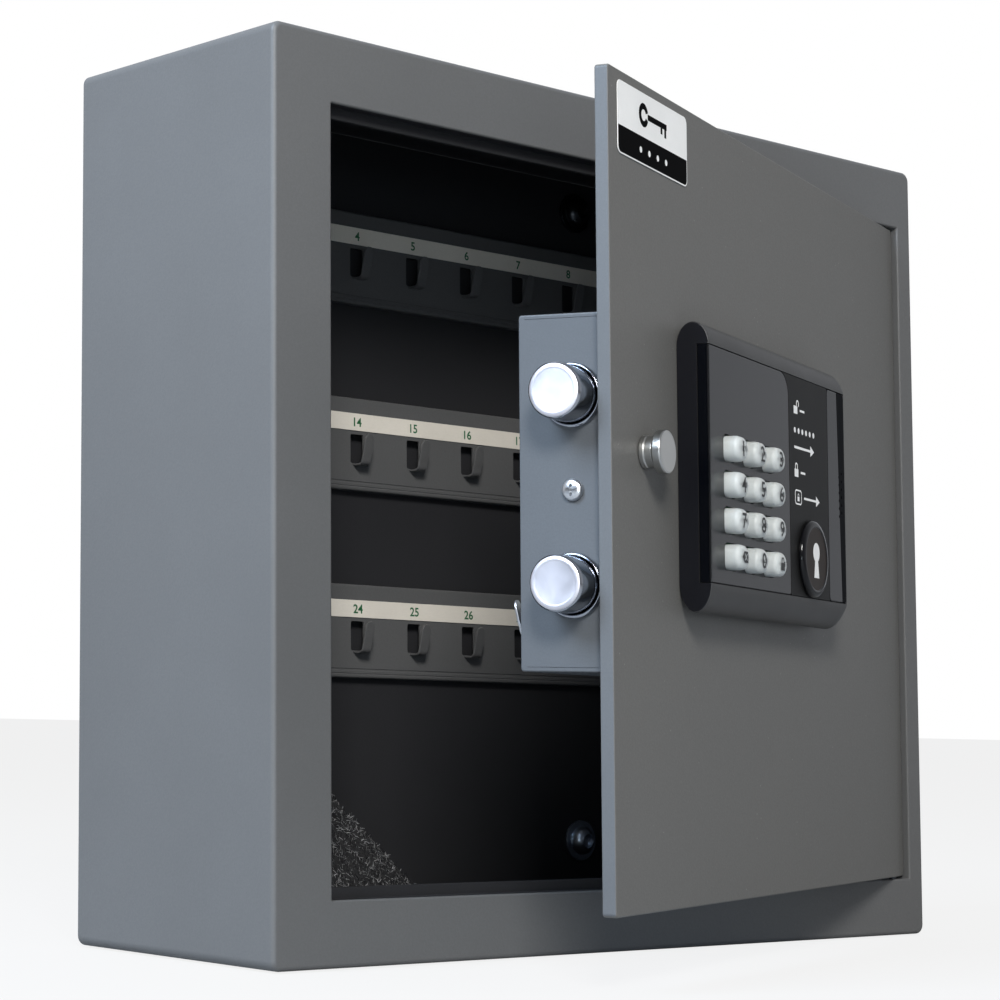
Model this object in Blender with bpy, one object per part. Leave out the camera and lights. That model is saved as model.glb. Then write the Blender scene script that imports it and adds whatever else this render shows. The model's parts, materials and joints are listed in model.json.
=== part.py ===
"""Wall-mounted steel key cabinet with an electronic lock, its door standing part open.

Frame: origin at the centre of the rear face that lies against the wall, +X to the right seen
from the front, +Y into the wall, +Z up. Sizes are in millimetres and are scaled to metres when a
mesh is made. Door parts are drawn as they lie with the door shut, relative to the hinge axis,
and hang from an empty on that axis which is turned to the open angle.

A shape is a pair (points, faces), faces being tuples of point indices.
"""

import math

import bmesh
import bpy
from mathutils import Vector

for old in list(bpy.data.objects):
    bpy.data.objects.remove(old, do_unlink=True)

MM = 0.001
FIT = 0.3  # gap left between parts that meet
PAST = 1.0  # how far most cutters run past the face they cut

# ---- cabinet body
BODY_W, BODY_H, BODY_D = 370.0, 350.0, 127.0
SHEET = 2.0
BODY_CORNER = 4.0
CORNER_SEGMENTS = 3
FRONT_BEND = 2.0
BORDER_LEFT, BORDER_RIGHT, BORDER_TOP, BORDER_BOTTOM = 27.5, 9.5, 27.0, 25.0
RETURN_DEPTH = 8.5  # how far the opening's edges turn back behind the front
LEFT_RETURN = 5.5
STOP_LIP = 4.3
STOP_SHEET = 2.0
BACK_SHEET = 2.0

LEFT, RIGHT = -BODY_W / 2, BODY_W / 2
BOTTOM, TOP = -BODY_H / 2, BODY_H / 2
FRONT = -BODY_D
OPEN_LEFT, OPEN_RIGHT = LEFT + BORDER_LEFT, RIGHT - BORDER_RIGHT
OPEN_BOTTOM, OPEN_TOP = BOTTOM + BORDER_BOTTOM, TOP - BORDER_TOP

# ---- door; its y runs from OUTER, the front face, to INNER, the rear face
DOOR_OPEN_DEG = 22.2
DOOR_GAP = 1.0
DOOR_T = 5.2
AXIS_IN, AXIS_BACK = 8.0, 2.7  # hinge axis from the door's right edge and front face
HINGE_RELIEF = 6.0
AXIS_X = OPEN_RIGHT - DOOR_GAP - AXIS_IN
AXIS_Y = FRONT + AXIS_BACK
DOOR_LEFT, DOOR_RIGHT = OPEN_LEFT + DOOR_GAP - AXIS_X, AXIS_IN
DOOR_BOTTOM, DOOR_TOP = OPEN_BOTTOM + DOOR_GAP, OPEN_TOP - DOOR_GAP
OUTER, INNER = -AXIS_BACK, DOOR_T - AXIS_BACK

PIN_D, PIN_HOLE_D, PIN_DEPTH, PIN_UP = 3.2, 3.6, 14.0, 3.5

# ---- places on the door shared by several parts
KNOB_X, KNOB_Z = -294.0, 13.1
KNOB_BORE_D = 4.6
OVERRIDE_X, OVERRIDE_Z = -152.0, -15.7  # emergency lock
BARREL_D, BARREL_FLANGE_D, BARREL_HOLE_D = 17.0, 22.0, 17.6
PAD_HOLE_X, PAD_HOLE_Z, PAD_HOLE_D = -230.0, 44.0, 12.0  # hole behind the keypad
RESET_X, RESET_Z = -232.0, 30.0


# ------------------------------------------------------------------ materials
def material(name, colour, roughness, metallic=0.0):
    mat = bpy.data.materials.new(name)
    mat.use_nodes = True
    bsdf = mat.node_tree.nodes["Principled BSDF"]
    bsdf.inputs["Base Color"].default_value = (*colour, 1.0)
    bsdf.inputs["Metallic"].default_value = metallic
    bsdf.inputs["Roughness"].default_value = roughness
    mat.diffuse_color = (*colour, 1.0)
    mat.metallic = metallic
    mat.roughness = roughness
    return mat


GREY_PAINT = material("grey_powder_coat", colour=(0.14, 0.14, 0.142), roughness=0.55)
DOOR_PAINT = material("door_powder_coat", colour=(0.14, 0.14, 0.137), roughness=0.55)
RAIL_PAINT = material("rail_powder_coat", colour=(0.09, 0.09, 0.095), roughness=0.6)
CASE_PAINT = material("lock_case_paint", colour=(0.2, 0.2, 0.205), roughness=0.55)
CREAM = material("label_card", colour=(0.62, 0.58, 0.5), roughness=0.6)
FELT = material("needle_felt", colour=(0.05, 0.05, 0.055), roughness=0.95)
CHROME = material("chromed_steel", colour=(0.75, 0.75, 0.77), roughness=0.12, metallic=1.0)
ZINC = material("zinc_plated_steel", colour=(0.6, 0.6, 0.6), roughness=0.35, metallic=1.0)
STEEL = material("bright_steel", colour=(0.5, 0.5, 0.5), roughness=0.3, metallic=1.0)
BRASS = material("lock_brass", colour=(0.7, 0.52, 0.24), roughness=0.35, metallic=1.0)
MATT_BLACK = material("matt_black_abs", colour=(0.02, 0.02, 0.021), roughness=0.45)
GLOSS_BLACK = material("gloss_black_pmma", colour=(0.012, 0.012, 0.013), roughness=0.08)
KEY_WHITE = material("key_white_silicone", colour=(0.75, 0.78, 0.77), roughness=0.35)
STICKER = material("sticker_vinyl", colour=(0.72, 0.72, 0.7), roughness=0.4)
BOARD = material("circuit_board_green", colour=(0.03, 0.16, 0.07), roughness=0.45)
RED = material("red_abs", colour=(0.5, 0.03, 0.02), roughness=0.4)
CELL = material("cell_jacket", colour=(0.05, 0.07, 0.11), roughness=0.35, metallic=0.3)


# ------------------------------------------------------------------ outlines
def arc(across, up, radius, start, end, segments):
    """Points of an arc between two angles in degrees, both ends included."""
    angles = [math.radians(start + (end - start) * i / segments) for i in range(segments + 1)]
    return [(across + radius * math.cos(a), up + radius * math.sin(a)) for a in angles]


def rounded(low_u, high_u, low_v, high_v, radius, segments):
    """Rectangle with round corners."""
    left, right = low_u + radius, high_u - radius
    lower, upper = low_v + radius, high_v - radius
    corners = ((right, upper, 0), (left, upper, 90), (left, lower, 180), (right, lower, 270))
    points = []
    for across, up, start in corners:
        points += arc(across, up, radius, start, start + 90, segments)
    return points


def circle(across, up, radius, segments):
    angles = [2 * math.pi * i / segments for i in range(segments)]
    return [(across + radius * math.cos(a), up + radius * math.sin(a)) for a in angles]


def place(axis, outline, along):
    """Sets a flat outline square to an axis; its two columns take the other axes in order."""
    if axis == "x":
        return [(along, u, v) for u, v in outline]
    if axis == "y":
        return [(u, along, v) for u, v in outline]
    return [(u, v, along) for u, v in outline]


def spread(count, pitch, middle=0.0):
    """Evenly spaced places about a middle."""
    return [middle + (i - (count - 1) / 2) * pitch for i in range(count)]


# ------------------------------------------------------------------ shapes
def loft(rings, closed=False):
    """Skin over rings of one length; the ends are capped, or joined together if closed."""
    count = len(rings[0])
    points = [point for ring in rings for point in ring]
    faces = []
    for k in range(len(rings) if closed else len(rings) - 1):
        here = k * count
        there = (k + 1) % len(rings) * count
        for i in range(count):
            j = (i + 1) % count
            faces.append((here + i, here + j, there + j, there + i))
    if not closed:
        faces.append(tuple(range(count)))
        faces.append(tuple(range(len(points) - count, len(points))))
    return points, faces


def prism(outline, axis, start, end):
    return loft([place(axis, outline, along) for along in (start, end)])


def box(x0, x1, y0, y1, z0, z1):
    return prism([(x0, y0), (x1, y0), (x1, y1), (x0, y1)], "z", z0, z1)


def disc(axis, across, up, radius, segments, start, end):
    return prism(circle(across, up, radius, segments), axis, start, end)


def turned(axis, across, up, profile, segments, closed=False):
    """profile: (radius, position along the axis)."""
    rings = [place(axis, circle(across, up, r, segments), along) for r, along in profile]
    return loft(rings, closed)


def tube(axis, across, up, outside, inside, segments):
    """A ring; both profiles run from one end face to the other."""
    return turned(axis, across, up, outside + inside[::-1], segments, closed=True)


def layered(x0, x1, z0, z1, levels, segments):
    """Round-cornered plate lofted along y; levels: (y, inset, corner radius)."""
    return loft([
        place("y", rounded(x0 + i, x1 - i, z0 + i, z1 - i, radius, segments), y)
        for y, i, radius in levels
    ])


# ------------------------------------------------------------------ objects
SHARP_DEG = 32


def mesh_object(name, shapes, parent, origin=(0, 0, 0)):
    edit = bmesh.new()
    for points, faces in shapes:
        verts = [edit.verts.new(point) for point in points]
        for face in faces:
            edit.faces.new([verts[i] for i in face])
    bmesh.ops.recalc_face_normals(edit, faces=edit.faces)
    shift = Vector(origin)
    for vert in edit.verts:
        vert.co = (vert.co - shift) * MM
    mesh = bpy.data.meshes.new(name)
    edit.to_mesh(mesh)
    edit.free()
    obj = bpy.data.objects.new(name, mesh)
    bpy.context.scene.collection.objects.link(obj)
    obj.location = shift * MM
    obj.parent = parent
    return obj


def part(name, mat, shape, parent=None, origin=(0, 0, 0), smooth=False):
    obj = mesh_object(name, [shape], parent, origin)
    obj.data.materials.append(mat)
    if smooth:
        obj.data.shade_smooth()
        obj.data.set_sharp_from_angle(angle=math.radians(SHARP_DEG))
    return obj


def boolean(obj, name, shapes, operation):
    """Hidden helper beside the object, and the modifier that applies it."""
    tool = mesh_object(name, shapes, obj.parent)
    tool.hide_render = True
    tool.display_type = "WIRE"
    mod = obj.modifiers.new(f"{operation.lower()}_{name}", "BOOLEAN")
    mod.operation = operation
    mod.operand_type = "OBJECT"
    mod.object = tool
    mod.solver = "EXACT"


def cut(obj, name, *shapes):
    boolean(obj, f"cut_{name}", shapes, "DIFFERENCE")


def fuse(obj, name, *shapes):
    boolean(obj, f"add_{name}", shapes, "UNION")


# ------------------------------------------------------------------ cabinet shell
IN_LEFT, IN_RIGHT = LEFT + SHEET, RIGHT - SHEET
IN_BOTTOM, IN_TOP = BOTTOM + SHEET, TOP - SHEET
RETURN_BACK = FRONT + RETURN_DEPTH
STOP_FRONT = RETURN_BACK - STOP_SHEET
POCKET_Y = (FRONT + SHEET, RETURN_BACK + PAST)
SIDE_POCKET_Z = (IN_BOTTOM + PAST, IN_TOP - PAST)
SHELL_PAST = 2.0  # overrun of the cutters that leave the shell's front and rear
BODY_LEVELS = ((0, 0), (FRONT + FRONT_BEND, 0), (FRONT + 0.6, 0.6), (FRONT, FRONT_BEND))  # y, inset


def shell_outer():
    levels = [(y, inset, BODY_CORNER - inset * 0.8) for y, inset in BODY_LEVELS]
    return layered(LEFT, RIGHT, BOTTOM, TOP, levels, CORNER_SEGMENTS)


def shell_cavity():
    outline = rounded(
        IN_LEFT, IN_RIGHT, IN_BOTTOM, IN_TOP, BODY_CORNER - SHEET, CORNER_SEGMENTS
    )
    return prism(outline, "y", RETURN_BACK, SHELL_PAST)


def frame_pockets():
    """Hollows behind the front border: top, bottom, left and right."""
    return [
        box(IN_LEFT, IN_RIGHT, *POCKET_Y, OPEN_TOP + SHEET, IN_TOP),
        box(IN_LEFT, IN_RIGHT, *POCKET_Y, IN_BOTTOM, OPEN_BOTTOM - SHEET),
        box(IN_LEFT, OPEN_LEFT - SHEET, *POCKET_Y, *SIDE_POCKET_Z),
        box(OPEN_RIGHT - PAST, IN_RIGHT, *POCKET_Y, *SIDE_POCKET_Z),
    ]


def left_return_trim():
    return box(
        OPEN_LEFT - SHEET - PAST, OPEN_LEFT + PAST,
        FRONT + LEFT_RETURN, RETURN_BACK + PAST, OPEN_BOTTOM, OPEN_TOP,
    )


def opening():
    return box(OPEN_LEFT, OPEN_RIGHT, FRONT - SHELL_PAST, STOP_FRONT, OPEN_BOTTOM, OPEN_TOP)


def opening_between_stops():
    return box(
        OPEN_LEFT, OPEN_RIGHT, STOP_FRONT - PAST, RETURN_BACK + PAST,
        OPEN_BOTTOM + STOP_LIP, OPEN_TOP - STOP_LIP,
    )


def hinge_relief():
    """The stop lips end short of the hinge, where the door's edge swings inward."""
    return box(
        AXIS_X - HINGE_RELIEF, OPEN_RIGHT, FRONT - SHELL_PAST, RETURN_BACK + PAST,
        OPEN_BOTTOM, OPEN_TOP,
    )


def shell_pin_holes():
    half = 2.5
    return [
        disc("z", AXIS_X, AXIS_Y, PIN_HOLE_D / 2, 16, z - half, z + half)
        for z in (OPEN_BOTTOM - SHEET / 2, OPEN_TOP + SHEET / 2)
    ]


shell = part("cabinet_shell", GREY_PAINT, shell_outer(), smooth=True)
shell_cuts = [[shell_cavity()]]
shell_cuts += [[pocket] for pocket in frame_pockets()]
shell_cuts += [[left_return_trim()], [opening()], [opening_between_stops()], [hinge_relief()]]
shell_cuts += [shell_pin_holes()]
for index, shapes in enumerate(shell_cuts):
    cut(shell, f"shell_{index}", *shapes)

# ------------------------------------------------------------------ back panel and wall bolts
WALL_HOLE_D = 10.0
WALL_X, WALL_Z_UP, WALL_Z_LOW = 88.0, 158.0, -137.5
WALL_POINTS = [(x, z) for z in (WALL_Z_UP, WALL_Z_LOW) for x in (-WALL_X, WALL_X)]
SHANK_D, SHANK_END = 8.0, -0.3
WASHER_D, WASHER_T = 18.5, 1.5
BOLT_HEAD_D, BOLT_HEAD_H = 13.0, 5.0


def back_plate():
    outline = rounded(
        IN_LEFT + FIT, IN_RIGHT - FIT, IN_BOTTOM + FIT, IN_TOP - FIT,
        BODY_CORNER - SHEET, CORNER_SEGMENTS,
    )
    return prism(outline, "y", -BACK_SHEET, 0)


def wall_bolt(x, z):
    """Shank, washer and domed head, from the wall forward."""
    washer, head = WASHER_D / 2, BOLT_HEAD_D / 2
    seat = -BACK_SHEET - FIT
    head_y = seat - WASHER_T
    profile = (
        (SHANK_D / 2, SHANK_END), (SHANK_D / 2, seat),
        (washer, seat), (washer, head_y + 0.3), (washer - 0.3, head_y),
        (head, head_y), (head - 0.3, head_y - 1.6), (head - 1.6, head_y - 3.6),
        (head - 3.8, head_y - BOLT_HEAD_H + 0.2), (1.2, head_y - BOLT_HEAD_H),
    )
    return turned("y", x, z, profile, 20)


back = part("back_panel", GREY_PAINT, back_plate())
cut(back, "back_holes", *[
    disc("y", x, z, WALL_HOLE_D / 2, 20, -BACK_SHEET - PAST, PAST) for x, z in WALL_POINTS
])
for number, (x, z) in enumerate(WALL_POINTS, 1):
    part(f"wall_bolt_{number}", ZINC, wall_bolt(x, z), origin=(x, -BACK_SHEET, z), smooth=True)

# ------------------------------------------------------------------ key rails
RAIL_HALF = 165.0
RAIL_FACE = -6.5
RAIL_SHEET = 1.0
RAIL_H, RAIL_DEPTH = 40.4, 4.0
RAIL_BEVEL = 0.4
RAIL_TOPS = (137.9, 56.0, -25.3)
LABEL_DROP, LABEL_H, LABEL_T, LABEL_GAP = 6.8, 7.5, 0.3, 0.15
HOOK_PITCH, HOOKS = 31.9, 10
SLOT_W, SLOT_H, SLOT_DROP = 7.3, 12.7, 15.9
HOOK_W, HOOK_REACH, HOOK_RISE, HOOK_T = 4.8, 9.0, 12.4, 1.0

# centre line of a hook: depth behind the rail's face, height above the foot of its slot
HOOK_LINE = (
    (RAIL_SHEET * 0.5, -0.5), (-HOOK_REACH * 0.14, -0.6), (-HOOK_REACH * 0.44, -0.7),
    (-HOOK_REACH * 0.62, -0.2), (-HOOK_REACH * 0.71, 1.3),
    (-HOOK_REACH * 0.82, HOOK_RISE * 0.42), (-HOOK_REACH, HOOK_RISE),
)


def hook_outline():
    """A J-shaped tongue of even thickness about HOOK_LINE."""
    one_side, other_side = [], []
    for i, (depth, height) in enumerate(HOOK_LINE):
        before = HOOK_LINE[max(i - 1, 0)]
        after = HOOK_LINE[min(i + 1, len(HOOK_LINE) - 1)]
        run, rise = after[0] - before[0], after[1] - before[1]
        length = math.hypot(run, rise)
        off_depth = -rise / length * HOOK_T / 2
        off_height = run / length * HOOK_T / 2
        one_side.append((depth + off_depth, height + off_height))
        other_side.append((depth - off_depth, height - off_height))
    return one_side + other_side[::-1]


def hook_tongues(xs, face, top, way):
    """way is 1 for a rail facing -Y and -1 for one facing +Y."""
    foot = top - SLOT_DROP - SLOT_H
    outline = [(face + way * depth, foot + height) for depth, height in hook_outline()]
    return [prism(outline, "x", x - HOOK_W / 2, x + HOOK_W / 2) for x in xs]


def hook_slots(xs, top, y0, y1):
    z = top - SLOT_DROP
    return [
        prism(rounded(x - SLOT_W / 2, x + SLOT_W / 2, z - SLOT_H, z, 0.8, 1), "y", y0, y1)
        for x in xs
    ]


def rail_channel(top):
    """Channel open to the rear, its front edges bevelled."""
    face, web = RAIL_FACE, RAIL_FACE + RAIL_SHEET
    rear = RAIL_FACE + RAIL_DEPTH
    foot = top - RAIL_H
    outline = [
        (face, top - RAIL_BEVEL), (face + RAIL_BEVEL, top), (rear, top), (rear, top - RAIL_SHEET),
        (web, top - RAIL_SHEET), (web, foot + RAIL_SHEET), (rear, foot + RAIL_SHEET),
        (rear, foot), (face + RAIL_BEVEL, foot), (face, foot + RAIL_BEVEL),
    ]
    return prism(outline, "x", -RAIL_HALF, RAIL_HALF)


def label_strip(x0, x1, face, top, way):
    z = top - LABEL_DROP
    near, far = face - way * LABEL_GAP, face - way * (LABEL_GAP + LABEL_T)
    return prism(rounded(x0, x1, z - LABEL_H, z, 0.6, 2), "y", near, far)


hook_xs = spread(HOOKS, HOOK_PITCH)
for number, top in enumerate(RAIL_TOPS, 1):
    name = f"key_rail_{number}"
    rail = part(name, RAIL_PAINT, rail_channel(top))
    cut(rail, name, *hook_slots(hook_xs, top, RAIL_FACE - 1, RAIL_FACE + 2))
    fuse(rail, name, *hook_tongues(hook_xs, RAIL_FACE, top, 1))
    label = label_strip(-RAIL_HALF, RAIL_HALF, RAIL_FACE, top, 1)
    part(f"label_strip_{number}", CREAM, label)

# ------------------------------------------------------------------ floor mat
MAT_T = 3.6
MAT_X0, MAT_X1, MAT_Y0, MAT_Y1 = -178.0, 140.0, -98.0, -6.0
MAT_FOLD_X = 11.0  # where the fold line meets the rear edge
MAT_FOLD_ANGLE, MAT_LIFT = math.radians(38.0), math.radians(60.0)
MAT_BEND_R = 12.0
MAT_COLUMNS, MAT_ROWS = 30, 12


def mat_point(x, y, up):
    """Point of the sheet, bent up about a slanting fold line across its rear left corner.

    up is the height above the sheet's mid-plane.
    """
    across_fold = Vector((-math.sin(MAT_FOLD_ANGLE), math.cos(MAT_FOLD_ANGLE)))
    along_fold = Vector((-math.cos(MAT_FOLD_ANGLE), -math.sin(MAT_FOLD_ANGLE)))
    from_fold = Vector((x - MAT_FOLD_X, y - MAT_Y1))
    distance = from_fold.dot(across_fold)
    turn = min(max(distance / MAT_BEND_R, 0.0), MAT_LIFT)
    beyond = max(distance - MAT_BEND_R * MAT_LIFT, 0.0)
    advance = min(distance, 0.0) + MAT_BEND_R * math.sin(turn) + beyond * math.cos(turn)
    height = MAT_BEND_R * (1 - math.cos(turn)) + beyond * math.sin(turn)
    advance -= up * math.sin(turn)
    height += up * math.cos(turn)
    flat = Vector((MAT_FOLD_X, MAT_Y1)) + along_fold * from_fold.dot(along_fold)
    flat += across_fold * advance
    return (flat.x, flat.y, BOTTOM + SHEET + FIT + MAT_T / 2 + height)


def floor_mat():
    """Lower and upper grids of points, joined round the border."""
    columns, rows = MAT_COLUMNS, MAT_ROWS
    points = [
        mat_point(
            MAT_X0 + (MAT_X1 - MAT_X0) * i / columns, MAT_Y0 + (MAT_Y1 - MAT_Y0) * j / rows, up
        )
        for up in (-MAT_T / 2, MAT_T / 2)
        for i in range(columns + 1)
        for j in range(rows + 1)
    ]
    upper = len(points) // 2

    def at(i, j):
        return i * (rows + 1) + j

    faces = []
    for grid in (0, upper):
        for i in range(columns):
            for j in range(rows):
                quad = (at(i, j), at(i + 1, j), at(i + 1, j + 1), at(i, j + 1))
                faces.append(tuple(grid + k for k in quad))
    border = [at(i, 0) for i in range(columns)]
    border += [at(columns, j) for j in range(rows)]
    border += [at(i, rows) for i in range(columns, 0, -1)]
    border += [at(0, j) for j in range(rows, 0, -1)]
    for here, after in zip(border, border[1:] + border[:1]):
        faces.append((here, after, upper + after, upper + here))
    return points, faces


part("floor_mat", FELT, floor_mat(), smooth=True)

# ------------------------------------------------------------------ door
door_axis = bpy.data.objects.new("door_axis", None)
bpy.context.scene.collection.objects.link(door_axis)
door_axis.location = Vector((AXIS_X, AXIS_Y, 0)) * MM
door_axis.rotation_euler = (0, 0, math.radians(DOOR_OPEN_DEG))
door_axis.empty_display_size = 0.02


def door_part(name, mat, shape, origin=(0, 0, 0), smooth=False):
    return part(name, mat, shape, door_axis, origin, smooth)


DOOR_CORNER = 1.2
DOOR_LEVELS = (
    (OUTER, 0.6, DOOR_CORNER), (OUTER + 0.6, 0, DOOR_CORNER),
    (INNER - 0.4, 0, DOOR_CORNER), (INNER, 0.4, DOOR_CORNER),
)
DOOR_ENDS = (("top", DOOR_TOP, 1), ("bottom", DOOR_BOTTOM, -1))  # name, z, way out of the door
THROUGH_DOOR = (OUTER - PAST, INNER + PAST)


def hinge_pin(end, out):
    radius = PIN_D / 2
    profile = (
        (radius - 0.3, end - out * (PIN_DEPTH - 0.5)), (radius, end - out * (PIN_DEPTH - 0.8)),
        (radius, end + out * (PIN_UP - 0.4)), (radius - 0.4, end + out * PIN_UP),
    )
    return turned("z", 0, 0, profile, 16)


door_plate = layered(DOOR_LEFT, DOOR_RIGHT, DOOR_BOTTOM, DOOR_TOP, DOOR_LEVELS, 2)
door = door_part("door_panel", DOOR_PAINT, door_plate)
cut(
    door, "door_holes",
    disc("y", KNOB_X, KNOB_Z, KNOB_BORE_D / 2, 16, *THROUGH_DOOR),
    disc("y", OVERRIDE_X, OVERRIDE_Z, BARREL_HOLE_D / 2 + 0.2, 24, *THROUGH_DOOR),
    disc("y", PAD_HOLE_X, PAD_HOLE_Z, PAD_HOLE_D / 2, 20, *THROUGH_DOOR),
)
cut(door, "door_pins", *[
    disc("z", 0, 0, PIN_HOLE_D / 2, 16, end + out * PAST, end - out * PIN_DEPTH)
    for _, end, out in DOOR_ENDS
])
for label, end, out in DOOR_ENDS:
    door_part(f"hinge_pin_{label}", STEEL, hinge_pin(end, out), smooth=True)

# ------------------------------------------------------------------ lock base and cover
CASE_X0, CASE_X1, CASE_Z0, CASE_Z1 = -317.0, -130.0, -65.5, 60.5
CASE_SHEET, CASE_BACK = 1.5, 35.3
CASE_BEND = 1.6
LOCK_Y, LOCK_Z = 14.5, -2.0
BOLT_ZS = (31.3, -35.4)
BUSH_TUBE_OD = 21.8
SCREW_HOLE_D = 4.2

BASE_X0, BASE_X1, BASE_Z0, BASE_Z1 = -311.0, -133.5, -62, 57
BASE_Y0, BASE_Y1 = INNER + FIT, INNER + 1.5
LUGS = ((-315.0, -313.2, -308.0), (-131.9, -133.8, -138.0))  # x of outer face, inner face, foot
LUG_TIP_Y, LUG_HALF_H = 21.0, 7

# spans of the cutters through each wall
THROUGH_BASE = (INNER - 1, INNER + 3)
THROUGH_EDGE_WALL = (CASE_X0 - 2, CASE_X0 + 4)
THROUGH_HINGE_WALL = (CASE_X1 - 4, CASE_X1 + 2)
THROUGH_CASE_BACK = (CASE_BACK - 4, CASE_BACK + 2)

BAT_X0, BAT_X1, BAT_Z0, BAT_Z1, BAT_Y0, BAT_Y1 = -205.0, -140.5, 2.5, 58.0, 15.3, 33.4


def base_lug(end, wall, foot):
    """L-shaped lug standing on the base plate."""
    outline = [
        (end, BASE_Y0), (foot, BASE_Y0), (foot, BASE_Y1),
        (wall, BASE_Y1), (wall, LUG_TIP_Y), (end, LUG_TIP_Y),
    ]
    return prism(outline, "z", LOCK_Z - LUG_HALF_H, LOCK_Z + LUG_HALF_H)


def screw_hole(x0, x1):
    return disc("x", LOCK_Y, LOCK_Z, SCREW_HOLE_D / 2, 12, x0, x1)


def case_outer():
    levels = [
        (y, inset, 2.0 - inset * 0.6)
        for y, inset in (
            (INNER + FIT, 0), (CASE_BACK - CASE_BEND, 0),
            (CASE_BACK - 0.47, 0.47), (CASE_BACK, CASE_BEND),
        )
    ]
    return layered(CASE_X0, CASE_X1, CASE_Z0, CASE_Z1, levels, 2)


def case_inner():
    """Starts in front of the case, at the hinge axis, so the front stays open."""
    return box(
        CASE_X0 + CASE_SHEET, CASE_X1 - CASE_SHEET, 0, CASE_BACK - CASE_SHEET,
        CASE_Z0 + CASE_SHEET, CASE_Z1 - CASE_SHEET,
    )


base_plate = box(BASE_X0, BASE_X1, BASE_Y0, BASE_Y1, BASE_Z0, BASE_Z1)
base = door_part("lock_base", ZINC, base_plate)
fuse(base, "base_lugs", *[base_lug(*lug) for lug in LUGS])
cut(
    base, "base",
    disc("y", KNOB_X, KNOB_Z, 5.2, 16, *THROUGH_BASE),
    disc("y", OVERRIDE_X, OVERRIDE_Z, BARREL_HOLE_D / 2 + 1, 24, *THROUGH_BASE),
    disc("y", PAD_HOLE_X, PAD_HOLE_Z, PAD_HOLE_D / 2 + 1, 20, *THROUGH_BASE),
    screw_hole(-318, -311),
    screw_hole(-136, -129),
)

case = door_part("lock_cover", CASE_PAINT, case_outer(), smooth=True)
cut(case, "case_inner", case_inner())
cut(
    case, "case_side",
    *[disc("x", LOCK_Y, z, BUSH_TUBE_OD / 2 + FIT, 28, *THROUGH_EDGE_WALL) for z in BOLT_ZS],
    screw_hole(*THROUGH_EDGE_WALL),
    screw_hole(*THROUGH_HINGE_WALL),
)
cut(
    case, "case_back",
    box(BAT_X0 + 2, BAT_X1 - 2, *THROUGH_CASE_BACK, BAT_Z0 + 2, BAT_Z1 - 2),
    disc("y", RESET_X, RESET_Z, 3.0, 20, *THROUGH_CASE_BACK),
)

# ---- cover screws with crossed slots, one in each side wall
CROSS_HALF_L, CROSS_HALF_W = 2.4, 0.5


def cover_screw(wall, out):
    # radius, distance outside the wall
    profile = (
        (1.4, -8.5), (1.8, -8.0), (1.8, 0.2), (4.0, 0.2), (4.0, 1.0), (3.2, 2.0), (1.6, 2.5),
    )
    return turned("x", LOCK_Y, LOCK_Z, [(r, wall + out * far) for r, far in profile], 20)


def cross_slot(wall, out, half_y, half_z):
    return box(
        wall + out * 1.1, wall + out * 4,
        LOCK_Y - half_y, LOCK_Y + half_y, LOCK_Z - half_z, LOCK_Z + half_z,
    )


for label, wall, out in (("edge", CASE_X0, -1), ("hinge", CASE_X1, 1)):
    screw = door_part(f"lock_cover_screw_{label}", ZINC, cover_screw(wall, out), smooth=True)
    cut(screw, f"cross_a_{label}", cross_slot(wall, out, CROSS_HALF_L, CROSS_HALF_W))
    cut(screw, f"cross_b_{label}", cross_slot(wall, out, CROSS_HALF_W, CROSS_HALF_L))

# ------------------------------------------------------------------ lock works
BOLT_D, BOLT_TIP, BOLT_BUTT = 20.0, -333.5, -288.0
BUSH_OD, BUSH_ID, BUSH_T = 23.2, 20.6, 2.0
CARRIER_T, CARRIER_Y0, CARRIER_Y1, CARRIER_Z0, CARRIER_Z1 = 6.6, 7.0, 22.0, -46.0, 42.0
LEAD_SCREW_D, LEAD_SCREW_X0, LEAD_SCREW_X1 = 6.0, -301.0, -258.8
LEAD_SCREW_ORIGIN_X = -280.0
GEAR_X0, GEAR_X1, GEAR_HALF_D, GEAR_HALF_H = -258.4, -238.0, 9.5, 11
# radius, x
MOTOR_PROFILE = ((8.0, -240.0), (8.0, -215.0), (7.2, -214.2), (2.4, -214.2), (2.4, -212.4))


def bolt_bush(z):
    """Flanged ring lining a bolt's hole in the case."""
    flange_back = CASE_X0 - FIT
    flange_front = flange_back - BUSH_T
    end = CASE_X0 + 4.5
    outside = [
        (BUSH_OD / 2 - 0.7, flange_front), (BUSH_OD / 2, flange_front + 0.7),
        (BUSH_OD / 2, flange_back), (BUSH_TUBE_OD / 2, flange_back), (BUSH_TUBE_OD / 2, end),
    ]
    return tube("x", LOCK_Y, z, outside, [(BUSH_ID / 2, flange_front), (BUSH_ID / 2, end)], 28)


def lock_bolt(z):
    radius = BOLT_D / 2
    profile = (
        (radius - 0.8, BOLT_TIP), (radius - 0.25, BOLT_TIP + 0.25),
        (radius, BOLT_TIP + 0.8), (radius, BOLT_BUTT),
    )
    return turned("x", LOCK_Y, z, profile, 28)


def bolt_carrier():
    x = BOLT_BUTT + FIT
    outline = rounded(CARRIER_Y0, CARRIER_Y1, CARRIER_Z0, CARRIER_Z1, 3.0, 3)
    return prism(outline, "x", x, x + CARRIER_T)


def lead_screw():
    radius = LEAD_SCREW_D / 2
    profile = (
        (radius - 0.6, LEAD_SCREW_X0), (radius, LEAD_SCREW_X0 + 0.6), (radius, LEAD_SCREW_X1),
    )
    return turned("x", LOCK_Y, LOCK_Z, profile, 16)


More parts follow.
